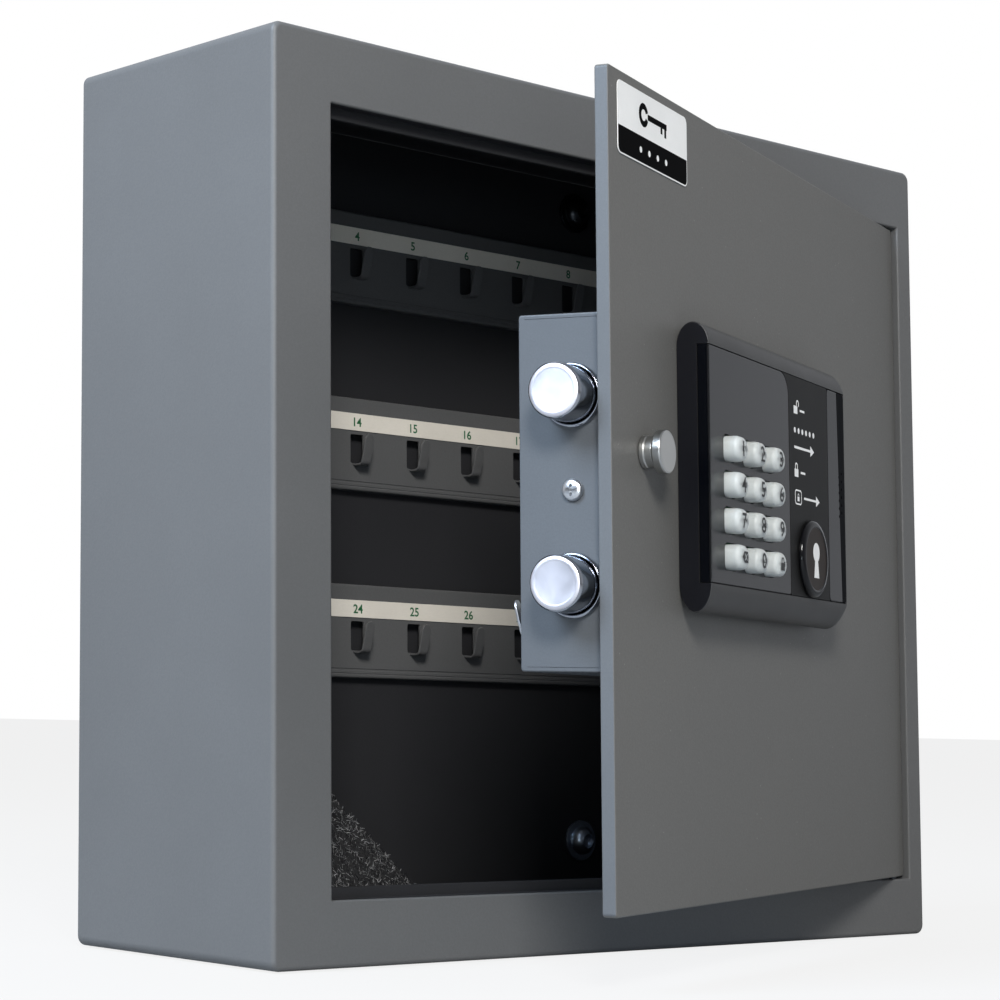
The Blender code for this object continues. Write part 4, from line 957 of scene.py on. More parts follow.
def mat_sheet(mesh, tones, draw):
    low, high = [mat_grid(mesh, tones, draw, up) for up in (-MAT_HALF, MAT_HALF)]
    nx, ny = MAT_CELLS_X, MAT_CELLS_Y
    for grid in (low, high):
        for i in range(nx):
            for j in range(ny):
                mesh.faces.new((grid[i][j], grid[i + 1][j], grid[i + 1][j + 1], grid[i][j + 1]))
    border = [(i, 0) for i in range(nx)] + [(nx, j) for j in range(ny)]
    border += [(i, ny) for i in range(nx, 0, -1)] + [(0, j) for j in range(ny, 0, -1)]
    for (i, j), (k, m) in zip(border, border[1:] + border[:1]):
        mesh.faces.new((low[i][j], low[k][m], high[k][m], high[i][j]))
    face_outwards(mesh)


def build_mat():
    draw = random.Random(11)
    mesh = bmesh.new()
    tones = mesh.verts.layers.float.new("tone")
    mat_sheet(mesh, tones, draw)
    # fibres over the upper face: about a quarter pale, some grey, the rest dark
    for _ in range(15000):
        x, y = draw.uniform(MAT_X0, MAT_X1), draw.uniform(MAT_Y0, MAT_Y1)
        pick = draw.random()
        if pick < 0.26:
            value = draw.uniform(0.75, 1.0)
        elif pick < 0.44:
            value = draw.uniform(0.4, 0.65)
        else:
            value = draw.uniform(0.0, 0.2)
        fibre(
            mesh, tones, draw, x, y, up=MAT_HALF + 0.1, heading=draw.uniform(0, 2 * math.pi),
            length=draw.uniform(1.1, 3.0), rise=draw.uniform(0.2, 1.5),
            width=draw.uniform(0.1, 0.22), value=value,
        )
    # fibres round the four edges
    for _ in range(900):
        along = draw.random()
        edge = draw.randrange(4)
        x = MAT_X0 + (MAT_X1 - MAT_X0) * (along if edge < 2 else edge - 2)
        y = MAT_Y0 + (MAT_Y1 - MAT_Y0) * (along if edge >= 2 else edge)
        value = draw.choice((0.05, 0.15, 0.5, 0.85, 0.95))
        fibre(
            mesh, tones, draw, x, y, up=draw.uniform(-MAT_HALF, MAT_HALF),
            heading=draw.uniform(0, 2 * math.pi), length=draw.uniform(1.2, 3.2),
            rise=draw.uniform(-0.3, 0.8), width=draw.uniform(0.08, 0.16), value=value,
        )
    make(
        "felt_mat_tufted", mesh, [FELT], "cabinet", "floor_mat",
        recalc=False, angle=80, even=False,
    )


# ---------------------------------------------------------------- door plate and hinge pins
KNOB = Box("pull_knob")
CAP = Box("emergency_lock_cap")


def build_door_plate():
    mesh = bmesh.new()
    slab(mesh, (DOOR.x0, DOOR.x1), (DOOR.z0, DOOR.z1), (OUTER, INNER), 1.6, 0.55, 5)
    holes = [
        circle(KNOB.x, KNOB.z, 2.3, 32), circle(CAP.x, CAP.z, 9.0, 48), circle(-230, 44, 6.0, 32)
    ]
    cutter = prisms(holes, "y", OUTER - 2, INNER + 2)
    pin_hole = [circle(0, 0, 1.8, 24)]
    prisms(pin_hole, "z", DOOR.z0 - 2, DOOR.z0 + 14, cutter)
    prisms(pin_hole, "z", DOOR.z1 - 14, DOOR.z1 + 2, cutter)
    mesh = carve(mesh, cutter)
    second_material(mesh, lambda face, at: face.normal.x < -0.8 and at.x < DOOR.x0 + 0.5)
    make(
        "door_plate_rounded", mesh, [DOOR_PAINT, EDGE_PAINT],
        "door", "door_panel", angle=32,
    )


def build_hinge_pin(which, z, way):
    inner, outer = z - way * 13.5, z + way * 3.5
    profile = [(0.01, inner), (1.6, inner), (1.6, outer), (0.01, outer)]
    mesh = bmesh.new()
    turned(mesh, "z", (0, 0), smooth_profile(profile, 0.4), 32)
    make(
        # The pins take the near-black steel as painted shade, so they show no glint in the hinge
        # gap.
        f"hinge_pin_{which}_turned", mesh, [STEEL_PAINTED_SHADE],
        "door", f"hinge_pin_{which}", angle=50,
    )


# ---------------------------------------------------------------- lock case and bolts
CASE = Box("lock_cover")
BUSHES = {which: Box(f"bolt_bush_{which}") for which in ("upper", "lower")}
LOCK_Y = BUSHES["upper"].y
LOCK_Z = Box("lock_cover_screw_edge").z
LID = Box("battery_lid")
BUTTON = Box("reset_button")
CASE_CORNER, CASE_EDGE, CASE_WALL = 1.1, 0.6, 1.5


def case_section(x, inset):
    """The case cut across at x, with rounded rear corners."""
    y, z0, z1 = CASE.y1 - inset - CASE_CORNER, CASE.z0 + inset, CASE.z1 - inset
    outline = [(CASE.y0, z0), (CASE.y0, z1)]
    outline += arc(y, z1 - CASE_CORNER, CASE_CORNER, 90, 0, 6)
    outline += arc(y, z0 + CASE_CORNER, CASE_CORNER, 0, -90, 6)
    return level("x", outline, x)


def build_lock_case():
    """Hollow folded case with fine seams near its top and bottom at both ends."""
    edges = edge_steps(CASE_EDGE)
    mesh = bmesh.new()
    loft(
        mesh,
        [case_section(CASE.x0 + depth, inset) for inset, depth in edges]
        + [case_section(CASE.x1 - depth, inset) for inset, depth in edges[::-1]],
    )
    inside = prisms(
        [rect(CASE.x0 + CASE_WALL, CASE.x1 - CASE_WALL, -1, CASE.y1 - CASE_WALL)],
        "z", CASE.z0 + CASE_WALL, CASE.z1 - CASE_WALL,
    )
    seams = bmesh.new()
    for z in (CASE.z1 - 1.6, CASE.z0 + 1.6):
        for half, start, end in (
            (0.09, CASE.x0 - 1, CASE.x0 + 0.25), (0.18, CASE.x1 - 0.45, CASE.x1 + 1)
        ):
            outline = rect(CASE.y0 - 1, CASE.y1 - 2.4, z - half, z + half)
            prisms([outline], "x", start, end, seams)
    screw_hole = circle(LOCK_Y, LOCK_Z, 2.1, 24)
    holes = [circle(LOCK_Y, box.z, 11.2, 56) for box in BUSHES.values()] + [screw_hole]
    end_holes = prisms(holes, "x", CASE.x0 - 2, CASE.x0 + 4)
    prisms([screw_hole], "x", CASE.x1 - 4, CASE.x1 + 2, end_holes)
    back_holes = prisms(
        [
            rounded(LID.x0 + 3.5, LID.x1 - 3.5, LID.z0 + 2.5, LID.z1 - 2.8, 1.0, 4),
            circle(BUTTON.x, BUTTON.z, 3.0, 32),
        ],
        "y", CASE.y1 - 4, CASE.y1 + 2,
    )
    mesh = carve(mesh, inside, seams, end_holes, back_holes)
    make(
        "lock_case_folded", mesh, [CASE_PAINT], "door", "lock_cover", angle=28
    )


def build_case_screw(which, x, way):
    """Pan head with a tapering cross recess; way is the direction out of the case along X."""
    profile = [  # radius, distance out of the case
        (0.01, -8.5), (1.4, -8.5), (1.8, -8.0), (1.8, 0.15), (4.0, 0.15), (4.0, 0.9),
        (3.5, 1.75), (2.4, 2.3), (1.2, 2.48), (0.01, 2.5),
    ]
    profile = [(radius, x + way * out) for radius, out in profile]
    mesh = bmesh.new()
    turned(mesh, "x", (LOCK_Y, LOCK_Z), smooth_profile(profile, 0.35), 56)
    narrow, wide, floor_wide = 0.5, 2.3, 2.3 * 0.45  # half widths of a recess arm

    def arm(half_y, half_z):
        return rect(LOCK_Y - half_y, LOCK_Y + half_y, LOCK_Z - half_z, LOCK_Z + half_z)

    cutters = []
    for deep, mouth in (
        (arm(narrow, floor_wide), arm(narrow, wide)), (arm(floor_wide, narrow), arm(wide, narrow))
    ):
        cutter = bmesh.new()
        stations = ((deep, 1.0), (mouth, 2.4), (mouth, 4))
        loft(cutter, [level("x", outline, x + way * out) for outline, out in stations])
        cutters.append(cutter)
    make(
        f"pan_screw_{which}", carve(mesh, *cutters), [ZINC],
        "door", f"lock_cover_screw_{which}", angle=32,
    )


def build_bolt(which, bush):
    """A bush ring in the end of the case and the round bolt inside it."""
    out = CASE.x0 - 0.3
    ring = [
        (10.3, CASE.x0 + 4.4), (10.3, out - 1.6), (10.7, out - 2.0), (11.0, out - 2.0),
        (11.6, out - 1.3), (11.6, out), (10.9, out), (10.9, CASE.x0 + 4.5),
        (10.35, CASE.x0 + 4.5),
    ]
    mesh = bmesh.new()
    turned(mesh, "x", (LOCK_Y, bush.z), smooth_profile(ring, 0.3, 3), 96, wrap=True)
    make(
        f"bush_ring_{which}", mesh, [CHROME],
        "door", f"bolt_bush_{which}", angle=40,
    )
    bolt = Box(f"lock_bolt_{which}")
    radius, tip, butt = (bolt.z1 - bolt.z0) / 2, bolt.x0, bolt.x1
    profile = [(0.01, tip + 0.12), (radius * 0.3, tip + 0.12)]
    profile += [  # inset from the radius, distance behind the tip
        (radius - inset, tip + behind)
        for inset, behind in (
            (2.6, 0.12), (2.35, 0.02), (1.9, 0), (1.3, 0.05), (0.7, 0.35), (0.25, 0.8),
            (0.04, 1.35), (0, 2.0),
        )
    ]
    profile += [
        (radius, butt - 1.0), (radius - 0.3, butt - 0.3), (radius - 0.8, butt), (0.01, butt)
    ]
    mesh = bmesh.new()
    turned(mesh, "x", (LOCK_Y, bush.z), profile, 96)
    second_material(mesh, lambda face, at: at.x < tip + 0.3)
    make(
        f"round_bolt_{which}", mesh, [CHROME, CHROME_FACE],
        "lock_bolts", f"lock_bolt_{which}", angle=50,
    )


# ---------------------------------------------------------------- hook rail on the lock case
def build_door_rail():
    box = Box("door_key_rail")
    face = CASE.y1 + 1.4
    x0, x1 = CASE.x0 + 6.0, CASE.x1 - 6.0
    centres = [CASE.x + (i - 2.5) * 29.8 for i in range(6)]
    mesh = bmesh.new()
    slab(mesh, (x0, x1), (box.z0, box.z1), (CASE.y1 + 0.3, face), 1.2, 0.3, 5)
    grooves = [
        rect(x0 - 1, x1 + 1, z - 0.35, z + 0.35) for z in (box.z0 + 3.6, box.z0 + 1.8)
    ]
    mesh = carve(
        mesh,
        prisms(slot_outlines(centres, box.z1), "y", CASE.y1 - 1, CASE.y1 + 4),
        prisms(grooves, "y", face - 0.3, face + 1),
    )
    for x in centres:
        hook(mesh, x, face, box.z1 - SLOT_DROP - SLOT_HEIGHT, -1)
    make(
        "door_rail_folded", mesh, [ZINC], "door", "door_key_rail", angle=32
    )
    build_label(
        "door_rail_numbers", "door", x0 + 0.6, x1 - 0.6, box.z1, face, -1,
        centres[::-1], 31, "door_label_strip",
    )


# ---------------------------------------------------------------- pull knob and sticker
def build_knob():
    neck, front = OUTER - 0.3, KNOB.y0
    rim = (KNOB.x1 - KNOB.x0) / 2
    profile = [
        (0.01, neck), (6.0, neck), (6.0, neck - 1.7), (5.7, neck - 2.0), (5.7, neck - 4.6),
        (5.3, neck - 4.8), (5.3, neck - 5.4), (rim - 0.4, neck - 5.5), (rim, neck - 5.9),
        (rim, front + 0.7), (rim - 0.3, front + 0.2), (rim - 0.9, front + 0.02),
        (rim - 1.2, front + 0.08), (3.5, front + 0.02), (0.01, front),
    ]
    mesh = bmesh.new()
    turned(mesh, "y", (KNOB.x, KNOB.z), smooth_profile(profile, 0.35), 96)
    mesh = carve(mesh, prisms([circle(KNOB.x, KNOB.z, 2.3, 32)], "y", OUTER - 7.4, OUTER + 1))
    # the hole's new points need a tool-mark coordinate too
    layer = mesh.verts.layers.float.get("ring") or mesh.verts.layers.float.new("ring")
    for vertex in mesh.verts:
        x, y, z = vertex.co
        vertex[layer] = math.hypot(x - KNOB.x, z - KNOB.z) + y
    second_material(mesh, lambda face, at: at.y < front + 0.25)
    make(
        "pull_knob_turned", mesh, [SATIN, SATIN_FACE],
        "door", "pull_knob", angle=50,
    )


def build_sticker():
    """Plain white sticker: key sign above, black field with four dots below."""
    box = Box("door_sticker")
    y = box.y0
    mesh = bmesh.new()
    slab(mesh, (box.x0, box.x1), (box.z0, box.z1), (box.y1, y), 2.6, 0.06, 8)
    face_outwards(mesh)
    split = box.z0 + (box.z1 - box.z0) * 0.385
    margin, corner = 0.5, 2.2
    left, right, low = box.x0 + margin, box.x1 - margin, box.z0 + margin
    field = arc(left + corner, low + corner, corner, 180, 270)
    field += arc(right - corner, low + corner, corner, 270, 360)
    patch(mesh, field + [(right, split), (left, split)], y - 0.03)
    x, z = box.x, (split + box.z1) / 2
    bow = arc(x - 9.0, z, 4.4, 20, 340, 28) + arc(x - 9.0, z, 2.1, 340, 20, 28)
    patch(mesh, bow, y - 0.03)
    patch(mesh, rect(x - 5.2, x + 13.0, z - 1.1, z + 1.1), y - 0.035)
    for start, drop in ((7.0, 3.4), (10.6, 4.2)):
        patch(mesh, rect(x + start, x + start + 1.8, z - drop, z - 1.0), y - 0.04)
    for k in range(4):
        dot = circle(x - 12 + 8 * k, (box.z0 + split) / 2, 1.15, 20)
        patch(mesh, dot, y - 0.06, material=0)
    make(
        "door_sticker_printed", mesh, [VINYL, VINYL_BLACK],
        "door", "door_sticker", recalc=False, angle=40,
    )


# ---------------------------------------------------------------- keypad unit
PAD = Box("keypad_housing")
FASCIA = Box("keypad_fascia")
INFO = Box("info_panel")
STRIP = Box("side_strip")
BARREL = Box("emergency_lock_barrel")
KEYS = {key: Box(f"key_{key}") for key in (*"123456789", "clear", "0", "lock")}
DEPTH, NOSE, FIT = 13.0, 6.4, 0.3  # housing depth, nose radius, gap round the panels
LOW_Z, HIGH_Z = FASCIA.z0, FASCIA.z1
NOSE_UP, NOSE_DOWN = PAD.z1 - HIGH_Z, LOW_Z - PAD.z0
PAD_FRONT = OUTER - DEPTH
PANEL_BACK = PAD_FRONT + 1.3
FASCIA_CORNER = 9.0
LOCK_HOLE = circle(CAP.x, CAP.z, (BARREL.x1 - BARREL.x0) / 2 + 0.6, 56)


def pad_section(x, trim, end_trim, floor):
    """Housing cut across at x: round noses above and below a flat sunk by floor.

    trim is taken off the depth; end_trim off the upper and lower nose heights.
    """
    depth = DEPTH - trim
    front = OUTER - depth

    def nose(edge, height, gap):
        points = []
        for i in range(20):
            a = math.pi * i / 20
            reach = (NOSE - 0.3) if i < 10 else (depth - NOSE)
            points.append((x, OUTER - NOSE + reach * math.cos(a), edge + height * math.sin(a)))
        return points + [(x, front, edge + gap)]

    high, low = HIGH_Z + FIT, LOW_Z - FIT
    return (
        nose(HIGH_Z, NOSE_UP - end_trim[0], FIT + 0.02)
        + [(x, front + floor * 0.12, high), (x, front + floor, high)]
        + [(x, front + floor, low), (x, front + floor * 0.12, low)]
        + nose(LOW_Z, end_trim[1] - NOSE_DOWN, -FIT - 0.02)[::-1]
    )


def round_off(radius, inset):
    return radius - math.sqrt(radius**2 - (radius - inset) ** 2) if inset < radius else 0.0


def build_keypad_body():
    rings = [
        pad_section(PAD.x0 + along, trim, (trim, trim), 5.0 - trim)
        for trim, along in edge_steps(0.6, 4)
    ]
    rings.append(pad_section(PAD.x0 + 1.69, 0.0, (0.0, 0.0), 5.0))
    rings.append(pad_section(PAD.x0 + 1.7, 0.0, (0.0, 0.0), 1.6))
    # distances from the end towards +X: first with a sunk flat, then nearly level
    sunk = (10.0, 8.6, 7.2, 5.9, 4.7, 3.6, 2.6, 1.8, 1.2)
    flush = (1.19, 0.8, 0.45, 0.2, 0.06, 0.0)
    for inset in sunk + flush:
        trim = round_off(1.0, inset)
        end_trim = (round_off(5.0, inset), round_off(10.0, inset))
        floor = 1.6 - trim if inset in sunk else 0.04
        rings.append(pad_section(PAD.x1 - inset, trim, end_trim, floor))
    mesh = bmesh.new()
    loft(mesh, rings)
    hollow = rounded(PAD.x0 + 4.2, PAD.x1 - 3.0, LOW_Z + 1.8, HIGH_Z - 2.0, 3.0, 4)
    key_field = rounded(
        KEYS["1"].x0 - 2.2, KEYS["3"].x1 + 2.2, KEYS["0"].z0 - 2.2, KEYS["1"].z1 + 2.2, 2.0, 4
    )
    mesh = carve(
        mesh,
        prisms([hollow], "y", OUTER - 9.0, OUTER + 1),
        prisms([key_field, LOCK_HOLE], "y", PAD_FRONT, OUTER - 6),
    )
    # The left end face takes the near-black copy of the housing plastic: painted shade.
    second_material(mesh, lambda face, at: face.normal.x < -0.85 and at.x < PAD.x0 + 1)
    make(
        "keypad_body_moulded", mesh, [MATT, HOUSING_END_PAINTED_SHADE],
        "door", "keypad_housing", angle=25,
    )


def fascia_outline(inset):
    """The fascia from the front; its left edge stays square where the leg's round begins."""
    radius = FASCIA_CORNER - inset
    x0 = FASCIA.x0 + (inset if inset < 0.2 else 0.0)
    x1, z0, z1 = FASCIA.x1 - inset, LOW_Z + inset, HIGH_Z - inset
    return (
        [(x0, z0)]
        + arc(x1 - 1.3, z0 + 1.3, 1.3, 270, 360, 6)
        + arc(x1 - radius, z1 - radius, radius, 0, 90, 14)
        + [(x0, z1)]
    )


def build_fascia():
    """Front plate with key holes, and a leg that runs back round its left side."""
    rings = [level("y", fascia_outline(0.0), PANEL_BACK)]
    for inset, depth in edge_steps(0.35)[::-1]:
        rings.append(level("y", fascia_outline(inset), PAD_FRONT + depth))
    mesh = bmesh.new()
    loft(mesh, rings)
    holes = [
        rounded(box.x0 - 0.35, box.x1 + 0.35, box.z0 - 0.35, box.z1 + 0.6, 2.6, 8)
        for box in KEYS.values()
    ]
    mesh = carve(mesh, prisms(holes, "y", PAD_FRONT - 1, PANEL_BACK + 1))
    inner = FASCIA.x0 + 1.4
    leg = [(inner, PAD_FRONT + 0.02)]
    leg += [(FASCIA.x0 + inset, PAD_FRONT + depth) for inset, depth in edge_steps(0.9, 6)[::-1]][
        ::-1
    ][::-1] if False else [
        (FASCIA.x0 + inset, PAD_FRONT + depth) for inset, depth in edge_steps(0.9, 6)
    ]
    leg += [(FASCIA.x0, OUTER - 8.5), (FASCIA.x0 + 0.15, OUTER - 8.3), (inner, OUTER - 8.3)]
    heights = (LOW_Z, LOW_Z + 0.2, HIGH_Z - 0.2, HIGH_Z)
    loft(mesh, [level("z", leg, z) for z in heights], material=1)
    make(
        "fascia_gloss", mesh, [GLOSS, LEG_BLACK],
        "door", "keypad_fascia", angle=32,
    )


def padlock(mesh, x, z, size, y, opened=False):
    """A plain padlock sign; the open one has its shackle moved aside."""
    patch(mesh, rect(x - 1.5 * size, x + 1.5 * size, z - 1.6 * size, z + 0.5 * size), y)
    x += 1.6 * size if opened else 0.0
    foot, middle = z + 0.5 * size, z + 0.9 * size + 0.25 * size
    outer, inner = 1.05 * size, 0.6 * size
    patch(
        mesh,
        [(x + outer, foot)] + arc(x, middle, outer, 0, 180, 16)
        + [(x - outer, foot), (x - inner, foot)] + arc(x, middle, inner, 180, 0, 16)
        + [(x + inner, foot)],
        y - 0.01,
    )


def build_info_panel():
    """Matt panel beside the fascia, with plain signs in four rows and a row of dots."""
    radius = FASCIA_CORNER + FIT
    start = math.degrees(math.asin(FASCIA_CORNER / radius))
    outline = [(FASCIA.x1 + FIT, LOW_Z), (INFO.x1, LOW_Z), (INFO.x1, HIGH_Z)]
    outline += arc(FASCIA.x1 - FASCIA_CORNER, HIGH_Z - FASCIA_CORNER, radius, start, 0, 14)
    mesh = bmesh.new()
    loft(mesh, [level("y", outline, y) for y in (PANEL_BACK, PAD_FRONT + 0.12, PAD_FRONT)])
    mesh = carve(mesh, prisms([LOCK_HOLE], "y", PAD_FRONT - 1, PANEL_BACK + 1))
    face_outwards(mesh)
    left, y = FASCIA.x1 + 6.0, PAD_FRONT - 0.03

    def bar(start, end, z0, z1):
        patch(mesh, rect(left + start, left + end, z0, z1), y)

    def arrow_head(start, end, z0, tip, z1):
        patch(mesh, [(left + start, z0), (left + end, tip), (left + start, z1)], y - 0.005)

    padlock(mesh, left + 2.4, 43.6, 1.5, y, opened=True)
    bar(7.4, 13.0, 42.4, 43.3)
    for k in range(6):
        patch(mesh, circle(left + 1.2 + 4.5 * k, 34.6, 1.15, 20), y)
    bar(0.2, 20.0, 27.3, 28.3)
    arrow_head(19.6, 24.2, 25.6, 27.8, 30.0)
    padlock(mesh, left + 2.4, 18.4, 1.5, y)
    bar(7.4, 13.0, 17.6, 18.5)
    patch(mesh, rounded(left + 0.2, left + 8.2, 5.0, 11.0, 1.6), y)
    patch(mesh, rounded(left + 0.8, left + 7.6, 5.6, 10.4, 1.1), y - 0.015, material=0)
    padlock(mesh, left + 4.2, 7.7, 0.8, y - 0.03)
    bar(11.0, 26.0, 7.6, 8.5)
    arrow_head(25.6, 30.2, 5.9, 8.05, 10.2)
    make(
        "info_panel_signs", mesh, [INFO_BLACK, WHITE_INK],
        "door", "info_panel", recalc=False, angle=32,
    )


def strip_outline(inset, outer):
    """One part of the strip; the parts meet along a slanting line."""
    top, foot = STRIP.x1 - 9.5, STRIP.x1 - 5.6
    radius = 2.2 - inset
    z0, z1 = LOW_Z + inset, HIGH_Z - inset
    if outer:
        x = STRIP.x1 - inset - radius
        return (
            [(top + 0.03, z1), (foot + 0.03, z0)]
            + arc(x, z0 + radius, radius, 270, 360, 8)
            + arc(x, z1 - radius, radius, 0, 90, 8)
        )
    x = STRIP.x0 + inset + radius
    return (
        [(foot - 0.03, z0), (top - 0.03, z1)]
        + arc(x, z1 - radius, radius, 90, 180, 8)
        + arc(x, z0 + radius, radius, 180, 270, 8)
    )


def build_strip():
    """Gloss strip with speaker holes: a bright inner part and a dull outer edge."""
    mesh = bmesh.new()
    for outer in (False, True):
        rings = [level("y", strip_outline(0.0, outer), PANEL_BACK)]
        for inset, depth in edge_steps(0.5)[::-1]:
            rings.append(level("y", strip_outline(inset, outer), PAD_FRONT + depth))
        loft(mesh, rings, material=int(outer))
    holes = [
        circle(x, 22.3 - 3.25 * k - drop, 0.6, 20)
        for k in range(6)
        for x, drop in ((-111.4, 0.0), (-114.6, 1.6))
    ]
    materials = [STRIP_BLACK, RIM_BLACK]
    cutter = prisms(holes, "y", PAD_FRONT - 1, PANEL_BACK + 1)
    make(
        "side_strip_gloss", carve(mesh, cutter, materials=materials), materials,
        "door", "side_strip", angle=32,
    )


def build_key(key, box):
    """Moulded key cap with a number or a plain sign, a little left of its middle."""
    face = box.y0
    stations = [(0.0, box.y1), (0.0, face + 3.4), (0.06, face + 2.3)]  # inset, y
    stations += [(0.1 + inset, face + 0.22 + depth) for inset, depth in edge_steps(2.2, 7)[::-1]]
    stations += [(3.0, face + 0.1), (4.0, face + 0.04)]
    rings = []
    for inset, y in stations:
        corner = max(4.3 - inset * 0.6, 0.9)
        outline = rounded(
            box.x0 + inset, box.x1 - inset, box.z0 + inset, box.z1 - inset, corner, 10
        )
        rings.append(level("y", outline, y))
    mesh = bmesh.new()
    loft(mesh, rings)
    face_outwards(mesh)
    x, z, y = box.x - 0.9, box.z, face - 0.03
    if key == "clear":
        arrow = [(-2.6, 0), (-0.9, 2.1), (3.0, 2.1), (3.0, -2.1), (-0.9, -2.1)]
        patch(mesh, [(x + right, z + rise) for right, rise in arrow], y)
        stroke = [(-0.6, -1.05), (-0.2, -1.4), (2.2, 1.05), (1.8, 1.4)]
        for way in (1, -1):
            outline = [(x + right, z + way * rise) for right, rise in stroke]
            patch(mesh, outline, y - 0.02 - 0.005 * way, material=0)
    elif key == "lock":
        padlock(mesh, x, z - 0.3, 1.35, y)
    else:
        glyphs(mesh, key, x, z, face - 0.05, -1, size=6.0, bold=0.06, squeeze=1.12)
    make(
        f"key_cap_{key}", mesh, [WHITE_KEY, DARK_INK],
        f"key_{key}", f"key_{key}", recalc=False, angle=40,
    )


def build_lock_cap():
    """Round cap of the emergency lock, with a keyhole sign."""
    rim, back, front = (CAP.x1 - CAP.x0) / 2, CAP.y1, CAP.y0
    profile = [
        (0.01, back), (9.4, back), (9.5, back - 0.2), (9.5, back - 0.55),
        (rim - 0.4, back - 0.6), (rim, back - 0.9), (rim, front + 1.5),
        (rim - 0.15, front + 1.0), (rim - 0.55, front + 0.5), (rim - 1.2, front + 0.15),
        (rim - 2.1, front), (rim - 2.5, front + 0.02), (rim - 2.7, front + 0.25),
        (rim - 3.0, front + 0.3), (0.01, front + 0.3),
    ]
    mesh = bmesh.new()
    turned(mesh, "y", (CAP.x, CAP.z), profile, 96)

    def on_disc(face, centre):
        distance = math.hypot(centre.x - CAP.x, centre.z - CAP.z)
        return centre.y < front + 0.31 and distance < rim - 2.9

    second_material(mesh, on_disc)
    face_outwards(mesh)
    y = front + 0.26
    patch(mesh, circle(CAP.x, CAP.z + 2.6, 3.9, 40), y, material=2)
    skirt = [(-1.7, 0.2), (1.7, 0.2), (3.0, -7.6), (-3.0, -7.6)]
    outline = [(CAP.x + right, CAP.z + rise) for right, rise in skirt]
    patch(mesh, outline, y - 0.01, material=2)
    make(
        "lock_cap_disc", mesh, [STRIP_BLACK, CAP_FACE, WHITE_INK],
        "emergency_cap", "emergency_lock_cap", recalc=False, angle=40,
    )


# ---------------------------------------------------------------- battery lid, reset button
def build_battery_lid():
    y = CASE.y1 + 0.3
    mesh = bmesh.new()
    slab(mesh, (LID.x0, LID.x1), (LID.z0, LID.z1), (y, LID.y1), 2.2, 0.45, 8)
    slab(
        mesh, (LID.x0 + 4.2, LID.x1 - 4.2), (LID.z0 + 3.2, LID.z1 - 3.5), (LID.y0, y + 0.3),
        1.0, 0.2, 4,
    )
    for k in range(6):
        z = LID.z1 - 8.0 - 2.2 * k
        slab(
            mesh, (LID.x - 9, LID.x + 9), (z - 0.5, z + 0.5), (LID.y1 - 0.2, LID.y1 + 0.45),
            0.49, 0.2, 4,
        )
    make(
        "battery_lid_ribbed", mesh, [MATT],
        "battery_lid", "battery_lid", angle=35,
    )


def build_reset_button():
    low, high = BUTTON.y0, BUTTON.y1
    profile = [
        (0.01, low), (3.8, low), (3.8, low + 2.4), (2.6, low + 2.4), (2.6, high - 0.3),
        (2.1, high), (1.2, high - 0.15), (0.01, high - 0.2),
    ]
    mesh = bmesh.new()
    turned(mesh, "y", (BUTTON.x, BUTTON.z), smooth_profile(profile, 0.3), 48)
    make(
        "reset_button_moulded", mesh, [RED], "reset_button", "reset_button", angle=40
    )


# ---------------------------------------------------------------- CAD nodes that stay
KEPT_NODES = (  # node, material, width of its rounded edges
    ("lock_base", ZINC, 0.2), ("bolt_carrier", ZINC, 0.5), ("lead_screw", STEEL, 0.0),
    ("gear_motor", STEEL, 0.4), ("knob_screw", ZINC, 0.15), ("circuit_board", BOARD, 0.15),
    ("emergency_lock_barrel", BRASS, 0.25), ("emergency_lock_plug", BRASS, 0.2),
    ("emergency_lock_cam", STEEL, 0.3), ("battery_box", MATT, 0.3), ("battery_1", CELL, 0.2),
    ("battery_2", CELL, 0.2), ("battery_3", CELL, 0.2), ("battery_4", CELL, 0.2),
)


def dress_kept_nodes():
    for node, material, width in KEPT_NODES:
        obj = frame["nodes"][node]
        obj.data.materials.clear()
        shade(obj.data, [material], angle=32)
        if width:
            round_edges(obj, width, segments=3)
            obj.modifiers.new("even_shading", "WEIGHTED_NORMAL").keep_sharp = True


# ---------------------------------------------------------------- floor, light and camera
# from here on lengths are in metres
def build_floor():
    """A wide disc that mostly glows white where the camera sees it directly."""
    mesh = bmesh.new()
    level_z = SHELL.z0 * MM - 0.0006
    rings = [level("z", circle(0, 0, radius, 64), level_z) for radius in (0.5, 2.0, 8.0, 30.0)]
    mesh.faces.new(loft(mesh, rings, caps=False)[0])
    face_outwards(mesh)
    data = bpy.data.meshes.new("floor")
    mesh.to_mesh(data)
    mesh.free()
    nodes = new_material("pale_floor")
    nodes.surface({
        "Base Color": (0.36, 0.36, 0.36, 1), "Roughness": 0.9, "Specular IOR Level": 0.1,
    })
    seen = nodes.add("LightPath").outputs["Is Camera Ray"]
    mixed = nodes.add("MixShader", {
        0: nodes.math("MULTIPLY", seen, 0.84),
        1: nodes.tree.nodes["Principled BSDF"].outputs[0],
        2: nodes.add("Emission").outputs[0],
    })
    nodes.feed(nodes.tree.nodes["Material Output"], {"Surface": mixed.outputs[0]})
    data.materials.append(nodes.owner)
    floor = bpy.data.objects.new("floor", data)
    bpy.context.scene.collection.objects.link(floor)


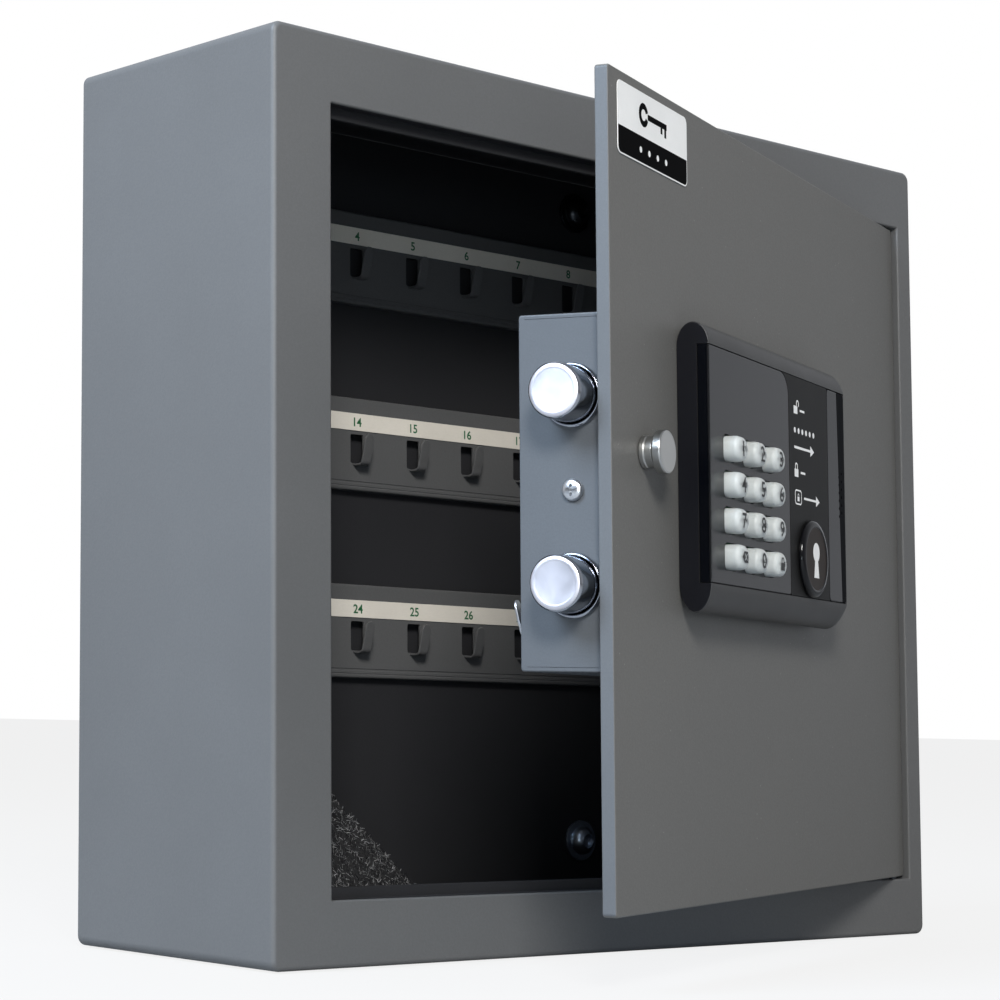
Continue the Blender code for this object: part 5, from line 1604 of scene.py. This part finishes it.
def build_world():
    """A studio dim towards -X and brighter towards +X and the rear; the camera sees white."""
    world = bpy.data.worlds.new("studio")
    bpy.context.scene.world = world
    nodes = Nodes(world)
    source = nodes.add("TexCoord").outputs["Generated"]
    direction = nodes.add("SeparateXYZ", {0: source})
    side = nodes.remap(direction.outputs[0], to=(0.14, 0.5), span=(-1.0, 1.0))
    rear = nodes.remap(direction.outputs[1], to=(0.0, 0.45), span=(0.12, 0.55))
    studio = nodes.tree.nodes["Background"]
    strength = nodes.math("ADD", side, rear)
    nodes.feed(studio, {"Color": (0.95, 0.98, 1.04, 1), "Strength": strength})
    white = nodes.add("Background", {"Color": (1, 1, 1, 1), "Strength": 1.0})
    mixed = nodes.add("MixShader", {
        0: nodes.add("LightPath").outputs["Is Camera Ray"],
        1: studio.outputs[0],
        2: white.outputs[0],
    })
    nodes.feed(nodes.tree.nodes["World Output"], {"Surface": mixed.outputs[0]})


def area_light(name, place, target, size, power, colour):
    light = bpy.data.lights.new(name, "AREA")
    light.shape = "RECTANGLE"
    light.size, light.size_y = size
    light.energy = power
    light.color = colour
    obj = bpy.data.objects.new(name, light)
    bpy.context.scene.collection.objects.link(obj)
    obj.location = place
    aim = Vector(target) - Vector(place)
    obj.rotation_euler = aim.to_track_quat("-Z", "Y").to_euler()
    obj.visible_camera = False


def build_lights():
    area_light(
        "key_light", place=(-1.2, -1.63, 1.03), target=(0, -0.1, 0),
        size=(0.5, 0.5), power=46.0, colour=(1.0, 0.985, 0.955),
    )
    area_light(
        "left_fill", place=(-1.6, -0.2, 1.2), target=(0, -0.1, 0),
        size=(0.9, 0.9), power=60.0, colour=(0.66, 0.81, 1.0),
    )
    area_light(
        "low_fill", place=(-1.2, -1.6, -0.03), target=(0, 0, 0.1),
        size=(0.5, 0.2), power=3.3, colour=(0.80, 0.92, 1.0),
    )


def build_camera():
    """A camera whose up direction is slightly skewed, through its parent inverse matrix."""
    scene = bpy.context.scene
    data = bpy.data.cameras.new("camera")
    camera = bpy.data.objects.new("camera", data)
    scene.collection.objects.link(camera)
    data.sensor_width = 36.0
    data.lens = 94.13
    data.clip_start, data.clip_end = 0.05, 100.0
    yaw, pitch, roll = math.radians(42.156), math.radians(4.837), math.radians(-0.389)
    skew = 0.0283  # share of the up direction added to the right direction
    forward = Vector((
        math.sin(yaw) * math.cos(pitch), math.cos(yaw) * math.cos(pitch), math.sin(pitch)
    ))
    level_right = Vector((math.cos(yaw), -math.sin(yaw), 0))
    level_up = level_right.cross(forward)
    right = level_right * math.cos(roll) + level_up * math.sin(roll)
    upward = level_up * math.cos(roll) - level_right * math.sin(roll)
    pose = Matrix((right + upward * skew, upward, -forward)).transposed().to_4x4()
    pose.translation = (-0.762015, -0.887795, -0.083042)
    holder = bpy.data.objects.new("camera_holder", None)
    scene.collection.objects.link(holder)
    camera.parent = holder
    camera.matrix_parent_inverse = pose
    scene.camera = camera
    scene.view_settings.view_transform = "Standard"
    scene.view_settings.look = "None"
    scene.view_settings.exposure = 0.0


# ---------------------------------------------------------------- build everything, in order
build_shell()
build_back_panel()
for number, wall_bolt in enumerate(WALL_BOLTS, 1):
    build_wall_bolt(number, wall_bolt)
build_weld_marks()
build_rails()
build_mat()
build_door_plate()
build_hinge_pin("top", DOOR.z1, 1)
build_hinge_pin("bottom", DOOR.z0, -1)
build_lock_case()
build_case_screw("edge", CASE.x0, -1)
build_case_screw("hinge", CASE.x1, 1)
for which, bush in BUSHES.items():
    build_bolt(which, bush)
build_door_rail()
build_knob()
build_sticker()
build_keypad_body()
build_fascia()
build_info_panel()
build_strip()
for key, key_box in KEYS.items():
    build_key(key, key_box)
build_lock_cap()
build_battery_lid()
build_reset_button()
dress_kept_nodes()
build_floor()
build_world()
build_lights()
build_camera()
